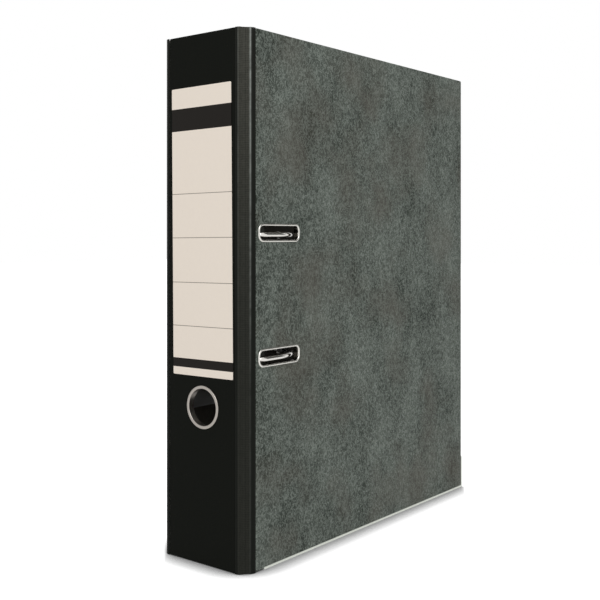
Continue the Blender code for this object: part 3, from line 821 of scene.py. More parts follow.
@dataclass
class HingeCloth:
    """The cloth over one hinge, outside or inside, in two halves that meet on the hinge strip.

    A bead is its place across the strip and its height. A painted highlight along a ridge is its place, its strength
    and its width.
    """

    side: Side
    face: Face
    chamfer_depth: float = 7.6
    chamfer_side: float = 6.6
    spine_reach: float = 8.8
    cover_reach: float = 9.66
    inner_reach: float = 13.0
    inner_lift: float = 0.36
    outer_lift: float = 0.1
    thickness: float = 0.28
    beads: tuple[Point2, Point2] = ((1.4, 0.26), (8.0, 0.42))
    bead_width: float = 0.34
    hollow: float = 0.38
    hollow_insets: Point2 = (0.4, 0.5)
    # Painted highlights along the two ridges.
    highlights: tuple[Point3, Point3] = ((8.0, 0.85, 0.55), (0.15, 0.16, 0.3))
    # How much of the painted light shows on the cloth off the lit strip.
    unlit_share: float = 0.12
    low_z: float = 0.15
    corner_radius: float = 1.1
    corner_steps: int = 6
    bend_reach: float = 1.7
    step: float = 0.22

    def corners(self) -> list[Vector]:
        """The line that the cloth follows.

        Returns:
            Its corners in (u, depth), from the spine to the cover.
        """
        spine, cover = Vector((0.0, self.chamfer_side)), Vector((self.chamfer_depth, 0.0))
        if self.face is Face.OUTER:
            return [Vector((0.0, self.spine_reach)), spine, cover, Vector((self.cover_reach, 0.0))]
        sheet = FILE.cover
        out = Vector((-self.chamfer_side, -self.chamfer_depth)) / math.hypot(self.chamfer_depth, self.chamfer_side)
        inner_spine = Vector((sheet, (spine.dot(out) - sheet - sheet * out.x) / out.y))
        inner_cover = Vector(((cover.dot(out) - sheet - sheet * out.y) / out.x, sheet))
        start = Vector((sheet, inner_spine.y + self.inner_reach))
        return [start, inner_spine, inner_cover, Vector((inner_cover.x + self.inner_reach, sheet))]

    def rounded_line(self) -> list[Vector]:
        """Rounds the bends of the corners' line.

        Returns:
            The line in short steps.
        """
        corners = self.corners()
        line: list[Vector] = [corners[0]]
        for before, corner, after in zip(corners, corners[1:], corners[2:]):
            start = corner + (before - corner).normalized() * self.corner_radius
            stop = corner + (after - corner).normalized() * self.corner_radius
            for k in range(self.corner_steps + 1):
                share = k / self.corner_steps
                line.append(start * (1 - share) ** 2 + corner * 2 * share * (1 - share) + stop * share**2)
        line.append(corners[-1])
        dense: list[Vector] = []
        for first, second in zip(line, line[1:]):
            count = max(1, round((second - first).length / self.step))
            dense += [first.lerp(second, k / count) for k in range(count)]
        return dense + [line[-1]]

    def across(self, place: Vector) -> float:
        """How far a place is across the strip, from the crease at the spine."""
        first, second = self.corners()[1:3]
        return (place - first).dot((second - first).normalized())

    def lift(self, place: Vector) -> float:
        """How far the cloth's outer surface stands off the line at a place.

        Args:
            place: A point of the line, in (u, depth).

        Returns:
            The distance outward, in millimetres.
        """
        if self.face is Face.INNER:
            return self.inner_lift
        corners, t = self.corners(), self.across(place)
        length = (corners[2] - corners[1]).length
        rise = self.outer_lift * (1.0 - min(1.0, max(0.0, t) / length))
        rise += sum(height * math.exp(-(((t - centre) / self.bead_width) ** 2)) for centre, height in self.beads)
        low, high = self.beads[0][0] + self.hollow_insets[0], self.beads[1][0] - self.hollow_insets[1]
        if low < t < high:
            rise -= self.hollow * math.sin(math.pi * (t - low) / (high - low)) ** 0.6
        return rise

    def rows(self, crease: Crease) -> list[tuple[Vector, Vector]]:
        """The outer and inner points of one half, along its line.

        Args:
            crease: Which crease it crosses.

        Returns:
            Pairs of points in (u, depth).
        """
        line = self.rounded_line()
        _, first, second, _ = self.corners()
        middle, along = 0.5 * (first + second), (second - first).normalized()
        rows = []
        for i, place in enumerate(line):
            offset = (place - middle).dot(along)
            if (offset > self.step) if crease is Crease.SPINE else (offset < 0.0):
                continue
            ahead = heading(line, i)
            out = Vector((ahead.y, -ahead.x)) * (1.0 if self.face is Face.OUTER else -1.0)
            top = place + out * self.lift(place)
            rows.append((top, top - out * self.thickness))
        return rows

    def half(self, crease: Crease) -> Piece:
        """Makes one half of the cloth.

        Args:
            crease: Which crease it crosses.

        Returns:
            The half.
        """
        rows = self.rows(crease)
        flat = [(p.x, FILE.depth_to_n(self.side, p.y)) for pair in rows for p in pair]
        points = [(u, n, z) for z in (self.low_z, FILE.top_z) for u, n in flat]
        count = len(flat)
        faces = [[0, 1, count + 1, count], [count - 2, count - 1, 2 * count - 1, 2 * count - 2]]
        for k in range(len(rows) - 1):
            a, b, c, d = 2 * k, 2 * k + 1, 2 * k + 3, 2 * k + 2
            faces += [[a, b, c, d], [count + a, count + b, count + c, count + d]]
            faces += [[a, d, count + d, count + a], [b, c, count + c, count + b]]
        name = f"{self.side.value}_hinge_cloth_{self.face.value}_{crease.value}"
        made = solid(name, points, faces, HINGE_CLOTH, smooth=50.0)
        self.paint_light(made, [pair[0] for pair in rows])
        self.bend(made, crease)
        return made

    def paint_light(self, piece: Piece, places: Sequence[Vector]) -> None:
        """Writes where light is painted: the strip whose threads are painted lit, and the ridges that take a painted
        highlight.

        Args:
            piece: A half of the cloth, with its points in the order it was made.
            places: Each row's outer point, in (u, depth).
        """
        lit_strip_values, ridge_highlight = [], []
        # Painted light: the inner cloth and the outer strip up to the second bead are painted as lit, and the ridges
        # take painted highlights.
        for t in map(self.across, places):
            shows = self.face is Face.INNER or -0.1 < t < self.beads[1][0] - 0.1
            lit_strip_values += [1.0 if shows else self.unlit_share] * 2
            ridge = sum(share * math.exp(-(((t - centre) / width) ** 2)) for centre, share, width in self.highlights)
            ridge_highlight += [ridge, 0.0]
        for name, values in (("lit_strip", lit_strip_values), ("ridge_highlight", ridge_highlight)):
            layer = piece.data.attributes.new(name, "FLOAT", "POINT")
            layer.data.foreach_set("value", values * 2)

    def bend(self, piece: Piece, crease: Crease) -> None:
        """Works out the places beside a half's crease, which are not used, and bakes the half's transform.

        Args:
            piece: The half.
            crease: Which crease it crosses.
        """
        first = 0 if crease is Crease.SPINE else 1
        before, corner, after = self.corners()[first : first + 3]
        for other in (before, after):
            place = corner + (other - corner).normalized() * self.bend_reach
            FILE.at(place.x, FILE.depth_to_n(self.side, place.y), 0.5 * FILE.top_z)
        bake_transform(piece)

    def build(self) -> list[Piece]:
        """Makes both halves."""
        return [self.half(crease) for crease in Crease]


@dataclass
class HingeCore:
    """The board strip between the cloths of one hinge."""

    side: Side
    cover_pivot: Point2 = (8.123, 1.4)
    spine_pivot: Point2 = (1.4, 7.238)
    half_thickness: float = 0.5
    trim: float = 1.0
    low_z: float = 0.6
    top_gap: float = 0.4

    def build(self) -> Piece:
        """Makes the strip, which stands for the CAD hinge strip together with the cloths.

        Returns:
            The strip.
        """
        first, second = Vector(self.cover_pivot), Vector(self.spine_pivot)
        along = (second - first).normalized() * self.trim
        angle = math.degrees(math.atan2(along.y, along.x))
        outline = arc(second - along, self.half_thickness, angle - 90.0, angle + 90.0, 8)
        outline += arc(first + along, self.half_thickness, angle + 90.0, angle + 270.0, 8)
        outline = [(u, FILE.depth_to_n(self.side, depth)) for u, depth in outline]
        side = self.side.value
        made = prism(f"{side}_hinge_core", Axis.Z, outline, self.low_z, FILE.top_z - self.top_gap, GREY_BOARD)
        return fitted(made, f"{side}_hinge", "black_wrap", f"{side}_hinge_strip")


# ---------------------------------------------------------------- boards


CLEAR = 5.0  # How far a cutter goes past what it cuts, in millimetres.
LINING = 0.3  # A lining sheet's thickness, in millimetres.
SLOT_HALF = 14.95  # Half the length of a slot's middle line, in millimetres.
SLOT_SQUARE = 1.4  # How much tighter a slot's corners are than half circles, in millimetres.


def slot_outline(centre: Point2, offset: float) -> list[Point2]:
    """A slot's outline, a distance off its middle line, with corners tighter than half circles."""
    (u, z), across = centre, SLOT_HALF + offset
    return rectangle((u - across, z - offset), (u + across, z + offset), offset - SLOT_SQUARE, 10)


@dataclass
class Cover:
    """One cover: board wrapped in marbled paper, and the lining inside it."""

    side: Side
    start: float = 9.82
    end: float = 274.75
    low_z: float = 0.6
    board_inset: float = 0.4
    edge: float = 0.75
    corner: float = 1.6
    slot_middle: float = 33.0
    slot_radius: float = 5.15
    ring_heights: Point2 = (135.2, 215.2)
    lining_start: float = 0.6
    lining_inset: float = 5.0
    lining_corner: float = 2.0
    rail_start: float = 18.0
    rail_height: float = 1.5
    rail_rise: float = 26.0
    rail_depth: float = 0.45
    rail_gap: float = 0.1
    rail_past: float = 1.2
    rivet_places: tuple[Point2, ...] = ((22.5, 104.0), (77.0, 104.0), (22.5, 244.0), (77.0, 244.0))
    rivet_hole: float = 2.25

    def span(self, low: float, high: float) -> Point2:
        """Sorted n values of two depths below the cover's outer face."""
        first, second = sorted((FILE.depth_to_n(self.side, low), FILE.depth_to_n(self.side, high)))
        return first, second

    def finished(self, piece: Piece, slot: str, *nodes: str) -> Piece:
        """Cuts the slots, or the rivets' holes, through a sheet and hangs it on this cover.

        Args:
            piece: The sheet.
            slot: The record's material slot.
            nodes: The last words of the CAD nodes that it stands for.

        Returns:
            The sheet.
        """
        if self.side is Side.FRONT:
            outlines = [slot_outline((self.slot_middle, z), self.slot_radius) for z in self.ring_heights]
        else:
            outlines = [circle(place, self.rivet_hole, 24) for place in self.rivet_places]
        for outline in outlines:
            cut(piece, Axis.N, outline, *self.span(-CLEAR, FILE.cover + CLEAR))
        cover = f"{self.side.value}_cover"
        return fitted(shade(piece), cover, slot, *(f"{cover}_{node}" for node in nodes))

    def panel(self) -> Piece:
        """Makes the wrapped board, with the rebate that the edge rail folds into.

        Returns:
            The board.
        """
        outline = rectangle((self.start, self.low_z), (self.end, FILE.top_z), self.corner)
        name, span = f"{self.side.value}_cover_panel", self.span(0.0, FILE.cover - self.board_inset)
        made = bevelled(prism(name, Axis.N, outline, *span, COVER_PAPER), self.edge, 4)
        low, first = -CLEAR, self.rail_start - self.rail_gap
        last, inner = self.end + CLEAR, self.end + self.rail_past - self.rail_height
        rise, up = self.rail_height + self.rail_gap, self.rail_rise + self.rail_gap
        rebate = [(first, low), (last, low), (last, up), (inner, up), (inner, rise), (first, rise)]
        cut(made, Axis.N, rebate, *self.span(-CLEAR, self.rail_depth))
        return self.finished(made, "marbled_paper", "board", "paper")

    def lining(self) -> Piece:
        """Makes the lining sheet, which stops short of the edges so that the turned-in paper shows.

        Returns:
            The sheet.
        """
        inset = self.lining_inset
        low, high = (self.start + self.lining_start, self.low_z + inset), (self.end - inset, FILE.top_z - inset)
        outline = rectangle(low, high, self.lining_corner)
        name, span = f"{self.side.value}_cover_lining_sheet", self.span(FILE.cover - LINING, FILE.cover)
        return self.finished(prism(name, Axis.N, outline, *span, LINING_PAPER), "lining_paper", "lining")

    def build(self) -> list[Piece]:
        """Makes the cover's own pieces."""
        return [self.panel(), self.lining()]


@dataclass
class Spine:
    """The spine: board wrapped in black cloth, with its lining."""

    half_width: float = 29.5
    low_z: float = 0.4
    board_inset: float = 0.35
    edge: float = 0.6
    corner: float = 0.8
    lining_insets: Point2 = (0.5, 4.0)
    lining_corner: float = 1.0
    thumb_middle: Point2 = (37.0, 102.0)
    thumb_radius: float = 12.6

    def sheet(self, name: str, insets: Point2, corner: float, span: Point2, finish: Finish) -> Piece:
        """Makes a sheet that lies along the spine.

        Args:
            name: The sheet's name.
            insets: How far it stops short of the spine's sides, and of its ends.
            corner: Its corners' radius.
            span: The u of its two faces.
            finish: The finish it is made in.

        Returns:
            The sheet, with no hole yet.
        """
        middle, (side, end) = FILE.back_inner_y, insets
        low = (middle - self.half_width + side, self.low_z + end)
        high = (middle + self.half_width - side, FILE.top_z - end)
        return prism(name, Axis.U, rectangle(low, high, corner), *span, finish)

    def build(self) -> list[Piece]:
        """Makes both sheets and cuts the thumb hole through them.

        Returns:
            The panel and the lining.
        """
        span = (0.0, FILE.cover - self.board_inset)
        panel = bevelled(self.sheet("spine_panel", (0.0, 0.0), self.corner, span, SPINE_CLOTH), self.edge, 4)
        span = (FILE.cover - LINING, FILE.cover)
        lining = self.sheet("spine_lining_sheet", self.lining_insets, self.lining_corner, span, LINING_PAPER)
        for piece in (panel, lining):
            outline = circle(self.thumb_middle, self.thumb_radius, 64)
            shade(cut(piece, Axis.U, outline, -CLEAR, FILE.cover + CLEAR))
        fitted(panel, "spine", "black_wrap", "spine_board", "spine_wrap")
        return [panel, fitted(lining, "spine", "lining_paper", "spine_lining")]


# ---------------------------------------------------------------- metalwork


def copies(piece: Piece, count: tuple[int, int], spread: Point2, finish: Finish) -> Piece:
    """Repeats a piece across and up the file with Geometry Nodes.

    Args:
        piece: The first copy, lowest and nearest the spine.
        count: How many stand across, and how many up.
        spread: The whole spread across, and up, in millimetres.
        finish: The finish that all copies take.

    Returns:
        The piece, as one plain mesh of all the copies.
    """
    tree = bpy.data.node_groups.new(f"{piece.name}_copies", "GeometryNodeTree")
    sockets = tree.interface
    sockets.new_socket("Geometry", in_out="INPUT", socket_type="NodeSocketGeometry")
    kinds = {"Count Across": "Int", "Count Up": "Int", "Spread Across": "Float", "Spread Up": "Float"}
    names = {}
    for name, kind in (kinds | {"Finish": "Material"}).items():
        names[name] = sockets.new_socket(name, in_out="INPUT", socket_type=f"NodeSocket{kind}").identifier
    sockets.new_socket("Geometry", in_out="OUTPUT", socket_type="NodeSocketGeometry")
    given = add(tree, "NodeGroupInput").outputs
    inputs = {"Size X": given["Spread Across"], "Size Y": given["Spread Up"]}
    inputs |= {"Vertices X": given["Count Across"], "Vertices Y": given["Count Up"]}
    grid = add(tree, "GeometryNodeMeshGrid", inputs=inputs)
    half = [Nodes(tree).maths("MULTIPLY", given[name], 0.5) for name in ("Spread Across", "Spread Up")]
    shift = add(tree, "ShaderNodeCombineXYZ", inputs={0: half[0], 2: half[1]})
    inputs = {"Geometry": grid.outputs[0], "Translation": shift.outputs[0], "Rotation": (0.5 * math.pi, 0.0, 0.0)}
    upright = add(tree, "GeometryNodeTransform", inputs=inputs)
    inputs = {"Points": upright.outputs[0], "Instance": given["Geometry"]}
    placed = add(tree, "GeometryNodeInstanceOnPoints", inputs=inputs)
    real = add(tree, "GeometryNodeRealizeInstances", inputs={0: placed.outputs[0]})
    dressed = add(tree, "GeometryNodeSetMaterial", inputs={"Geometry": real.outputs[0], "Material": given["Finish"]})
    add(tree, "NodeGroupOutput", inputs={0: dressed.outputs[0]})
    step = piece.modifiers.new("copies", "NODES")
    step.node_group = tree
    for name, value in zip(names, (*count, *(value * MM for value in spread), finish.build())):
        step[names[name]] = value
    return settle(piece)


@dataclass
class ThumbRing:
    """The rolled steel ring in the spine's thumb hole, and the washer it is clinched over.

    The washer's profile is in (radius, height over the spine's inner face).
    """

    middle: Point2 = (37.0, 102.0)
    hole: float = 12.0
    tube: float = 12.4
    rim: float = 14.1
    proud: float = 0.78
    seat: float = 0.12
    clinch: float = 0.9
    roll_steps: int = 12
    washer: tuple[Point2, ...] = (
        (12.65, 0.2), (13.95, 0.2), (14.1, 0.35), (13.9, 0.65), (12.8, 0.7), (12.65, 0.55),
    )
    sides: int = 96

    def build(self) -> list[Piece]:
        """Turns the ring and its washer.

        Returns:
            The ring and the washer.
        """
        inner, width = FILE.cover + self.clinch, self.rim - self.hole
        profile = [(self.hole, inner), (self.tube, inner), (self.tube, -self.seat), (self.rim, -self.seat)]
        for k in range(1, self.roll_steps):
            turn = math.pi * k / self.roll_steps
            height = self.seat + (self.proud - self.seat) * math.sin(turn) ** 0.8
            profile.append((self.rim - 0.5 * width * (1.0 - math.cos(turn)), -height))
        profile.append((self.hole, -self.seat))
        ring = lathe("thumb_ring_rolled", Axis.U, self.middle, profile, NICKEL, self.sides)
        profile = [(radius, FILE.cover + height) for radius, height in self.washer]
        washer = lathe("thumb_ring_clinch", Axis.U, self.middle, profile, ZINC, self.sides)
        fitted(ring, "spine", "plated_steel", "thumb_ring")
        return [ring, fitted(washer, "spine", "zinc_steel", "thumb_ring_washer")]


@dataclass
class SlotEyelets:
    """The pressed rims of the two slots in the front cover, and the washers they are clinched over.

    A rim starts as a tube through the cover; its crown is in (offset, height over the outer face). The washer is
    in (offset, depth under the inner face).
    """

    middle_u: float = 33.0
    heights: Point2 = (135.2, 215.2)
    tube: Point2 = (4.55, 4.95)
    tube_end: float = 0.75
    crown: tuple[Point2, ...] = (
        (4.95, 0.08), (6.0, 0.08), (6.0, 0.2), (5.88, 0.48), (5.6, 0.68), (5.25, 0.76), (4.9, 0.66), (4.65, 0.42),
        (4.55, 0.1),
    )
    washer: tuple[Point2, ...] = ((5.2, 0.2), (6.0, 0.2), (6.0, 0.5), (5.85, 0.65), (5.35, 0.65), (5.2, 0.5))

    def swept(self, name: str, profile: Sequence[Point2], finish: Finish) -> Piece:
        """Carries a profile round both slots.

        Args:
            name: The piece's name.
            profile: A closed loop of (offset, n).
            finish: The finish it is made in.

        Returns:
            One mesh that holds both rings.
        """
        start = (self.middle_u, self.heights[0])
        rows = [[(u, n, z) for u, z in slot_outline(start, offset)] for offset, n in profile]
        count, faces = len(rows[0]), []
        for i in range(len(rows)):
            faces += ring_faces(i * count, (i + 1) % len(rows) * count, count)
        made = solid(name, [point for row in rows for point in row], faces, finish)
        return copies(made, (1, 2), (0.0, self.heights[1] - self.heights[0]), finish)

    def build(self) -> list[Piece]:
        """Makes the rims and the washers.

        Returns:
            Both pieces.
        """
        profile = [(offset, FILE.inside - self.tube_end) for offset in self.tube]
        profile += [(offset, FILE.inside + FILE.cover + height) for offset, height in self.crown]
        rims = self.swept("slot_eyelet_rims", profile, BRIGHT)
        profile = [(offset, FILE.inside - depth) for offset, depth in self.washer]
        washers = self.swept("slot_clinch_washers", profile, ZINC)
        fitted(rims, "front_cover", "plated_steel", "slot_eyelet_lower", "slot_eyelet_upper")
        fitted(washers, "front_cover", "zinc_steel", "slot_washer_lower", "slot_washer_upper")
        return [rims, washers]


@dataclass
class ArchWire:
    """The one bent wire that is both rings, the axle they turn on and the crank between them.

    The crank is its half length, its reach and its dip. The tips are (distance from the end, share of the radius).
    """

    middle_z: float = 174.0
    spacing: float = 80.0
    radius: float = 1.9
    axle: Point2 = (24.0, 6.0)
    leg_u: float = 14.3
    leg_corner_n: float = 18.5
    tip: Point2 = (66.0, 46.5)
    flat: Point2 = (22.5, 34.0)
    low_n: float = 44.3
    crank: Point3 = (3.2, 17.5, 1.0)
    bends: tuple[float, ...] = (6.0, 4.0, 2.8, 3.0)
    tips: tuple[Point2, ...] = ((0.02, 0.55), (0.12, 0.82), (0.45, 1.0))
    ring_steps: int = 28
    bend_step: float = 6.0
    sides: int = 24

    def half(self, side: float) -> list[tuple[Vector, float]]:
        """Follows one ring from its tip to the middle of the crank.

        Args:
            side: -1 for the lower ring, 1 for the upper.

        Returns:
            Corners and their bend radii.
        """
        top = FILE.inside + FILE.cover - self.radius
        z = self.middle_z + side * 0.5 * self.spacing
        width, height = self.tip[0] - self.flat[1], top - self.low_n
        start = math.asin((self.tip[1] - self.low_n) / height)
        corners: list[tuple[Vector, float]] = []
        for k in range(self.ring_steps + 1):
            turn = start + (0.5 * math.pi - start) * k / self.ring_steps
            place = (self.flat[1] + width * math.cos(turn), self.low_n + height * math.sin(turn), z)
            corners.append((Vector(place), 0.0))
        half, reach, dip = self.crank
        crank_z = self.middle_z + side * half
        places = [(self.leg_u, top, z), (self.leg_u, self.leg_corner_n, z), (*self.axle, z), (*self.axle, crank_z)]
        places.append((self.axle[0] + reach, self.axle[1] - dip, crank_z))
        radii = (self.flat[0] - self.leg_u, *self.bends)
        return corners + [(Vector(place), radius) for place, radius in zip(places, radii)]

    def path(self) -> list[Vector]:
        """Bends the corners of both halves.

        Returns:
            The wire's middle line, with its bends in short steps.
        """
        corners = self.half(-1.0) + self.half(1.0)[::-1]
        line = [corners[0][0]]
        for (before, _), (corner, radius), (after, _) in zip(corners, corners[1:], corners[2:]):
            if radius == 0.0:
                line.append(corner)
                continue
            back, ahead = (before - corner).normalized(), (after - corner).normalized()
            half = 0.5 * back.angle(ahead)
            middle = corner + (back + ahead).normalized() * (radius / math.sin(half))
            start = corner + back * (radius / math.tan(half)) - middle
            turn = start.rotation_difference(corner + ahead * (radius / math.tan(half)) - middle)
            steps = max(4, round(math.degrees(turn.angle) / self.bend_step))
            for k in range(steps + 1):
                line.append(middle + Matrix.Rotation(turn.angle * k / steps, 3, turn.axis) @ start)
        return line + [corners[-1][0]]

    def build(self) -> Piece:
        """Sweeps the wire and rounds its two tips.

        Returns:
            The wire.
        """
        line = self.path()
        lead, tail = (line[1] - line[0]).normalized(), (line[-2] - line[-1]).normalized()
        rows = [(line[0] + lead * inset, share) for inset, share in self.tips]
        rows += [(place, 1.0) for place in line[1:-1]]
        rows += [(line[-1] + tail * inset, share) for inset, share in reversed(self.tips)]
        middles, along, across = [place for place, _ in rows], lead, lead.orthogonal().normalized()
        points: list[Point3] = []
        for i, (place, share) in enumerate(rows):
            ahead = heading(middles, i)
            across = along.rotation_difference(ahead) @ across
            along, other = ahead, ahead.cross(across)
            for k in range(self.sides):
                turn = 2.0 * math.pi * k / self.sides
                out = across * math.cos(turn) + other * math.sin(turn)
                points.append(tuple(place + self.radius * share * out))
        count = self.sides
        faces = [list(range(count)), list(range(len(points) - 1, len(points) - count - 1, -1))]
        for i in range(len(rows) - 1):
            faces += ring_faces(i * count, (i + 1) * count, count)
        return fitted(solid("arch_wire_bent", points, faces, CHROME), "arch", "plated_steel", "arch_wire")


@dataclass
class Posts:
    """The two hollow posts that take the tips of the wire, on their riveted feet.

    The foot is in (radius, height over its underside), and the top in (radius, depth below the post's end).
    """

    place: Point2 = (66.0, 134.0)
    spacing: float = 80.0
    foot_n: float = 1.55
    top_n: float = 46.2
    foot: tuple[Point2, ...] = (
        (0.0, 0.0), (4.8, 0.0), (5.0, 0.2), (5.0, 0.7), (4.7, 0.9), (3.0, 1.1), (2.5, 1.5),
    )
    top: tuple[Point2, ...] = (
        (2.5, 0.5), (2.4, 0.2), (2.15, 0.0), (1.75, 0.0), (1.6, 0.2), (1.6, 8.6), (0.0, 9.0),
    )

    def build(self) -> Piece:
        """Turns one post and repeats it.

        Returns:
            Both posts.
        """
        profile = [(radius, self.foot_n + height) for radius, height in self.foot]
        profile += [(radius, self.top_n - depth) for radius, depth in self.top]
        made = lathe("hollow_posts", Axis.N, self.place, profile, CHROME)
        copies(made, (1, 2), (0.0, self.spacing), CHROME)
        return fitted(made, "back_cover", "plated_steel", "lower_post", "upper_post")


@dataclass
class Rivets:
    """The four rivets through the back cover and the two through the bracket.

    Heads are in (radius, height over the face they lie on), and the bracket's in (radius, depth below its top).
    """

    place: Point2 = (22.5, 104.0)
    spread: Point2 = (54.5, 140.0)
    bracket_spread: float = 11.0
    base_top: float = 1.4
    outer_head: tuple[Point2, ...] = ((0.0, 0.78), (1.6, 0.78), (2.7, 0.68), (3.6, 0.45), (4.2, 0.16), (2.0, 0.15))
    inner_head: tuple[Point2, ...] = ((2.0, 0.15), (4.2, 0.16), (3.9, 0.5), (3.2, 0.8), (2.4, 0.93), (0.0, 0.95))
    bracket_shank: float = 1.3
    bracket_head: tuple[Point2, ...] = ((1.3, 0.9), (2.6, 0.89), (2.5, 0.55), (2.0, 0.2), (1.2, 0.02), (0.0, 0.0))

    def build(self) -> list[Piece]:
        """Turns one rivet of each kind and repeats it.

        Returns:
            The cover's rivets and the bracket's.
        """
        profile = [(radius, -FILE.cover - height) for radius, height in self.outer_head]
        profile += [(radius, self.base_top + height) for radius, height in self.inner_head]
        large = lathe("mounting_rivets", Axis.N, self.place, profile, NICKEL)
        copies(large, (2, 2), self.spread, NICKEL)
        names = [f"mounting_rivet_{level}_{place}" for level in ("low", "high") for place in ("inner", "outer")]
        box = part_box("bracket_rivet_lower")
        middle = 0.5 * (box[0] + box[1]) / MM
        low, high = FILE.back_inner_y - box[1].y / MM, FILE.back_inner_y - box[0].y / MM
        profile = [(0.0, low), (self.bracket_shank, low)]
        profile += [(radius, high - depth) for radius, depth in self.bracket_head]
        small = lathe("bracket_rivets", Axis.N, (middle.x - FILE.spine_x, middle.z), profile, NICKEL, 32)
        copies(small, (1, 2), (0.0, self.bracket_spread), NICKEL)
        fitted(large, "back_cover", "plated_steel", *names)
        return [large, fitted(small, "back_cover", "plated_steel", "bracket_rivet_lower", "bracket_rivet_upper")]


@dataclass(frozen=True)
class Refined:
    """A CAD piece made again with its hard edges rounded."""

    node: str
    body: str
    slot: str
    finish: Finish
    width: float = 0.2

    def build(self) -> Piece:
        """Copies the node's shape, clears its flat faces of triangles, and rounds its edges.

        Returns:
            The new piece.
        """
        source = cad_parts[self.node]
        mesh = source.data.copy()
        mesh.transform(source.matrix_world)
        shape = bmesh.new()
        shape.from_mesh(mesh)
        bmesh.ops.remove_doubles(shape, verts=shape.verts, dist=0.001 * MM)
        bmesh.ops.dissolve_limit(shape, angle_limit=math.radians(1.0), verts=shape.verts, edges=shape.edges)
        bmesh.ops.recalc_face_normals(shape, faces=shape.faces)
        shape.to_mesh(mesh)
        shape.free()
        mesh.materials.clear()
        mesh.materials.append(self.finish.build())
        made = shade(bevelled(linked(f"{self.node}_finished", mesh), self.width))
        return fitted(made, self.body, self.slot, self.node)


def mechanism() -> list[Refined]:
    """Lists the sheet-metal and moulded pieces that are rounded from their CAD shapes.

    Returns:
        The pieces, in the order they are made.
    """
    names = [side.value for side in Side]
    pieces = [Refined(f"{name}_edge_rail", f"{name}_cover", "rail_steel", RAIL_STEEL, 0.12) for name in names]
    sheets = {"base_plate": 0.3, "lever_bracket": 0.25, "axle_strap_lower": 0.25, "axle_strap_upper": 0.25}
    pieces += [Refined(name, "back_cover", "zinc_steel", ZINC, width) for name, width in sheets.items()]
    steel = (("lever_pivot_pin", "back_cover", 0.25), ("lever", "lever", 0.3), ("roller_pin", "lever", 0.2))
    pieces += [Refined(name, body, "plated_steel", NICKEL, width) for name, body, width in steel]
    black = (("lever_grip", "lever", 0.7), ("roller", "roller", 0.35), ("compressor_bar", "compressor", 0.3))
    return pieces + [Refined(name, body, "black_plastic", BLACK_ABS, width) for name, body, width in black]


# ---------------------------------------------------------------- studio


WHITE = (1.0, 1.0, 1.0, 1.0)


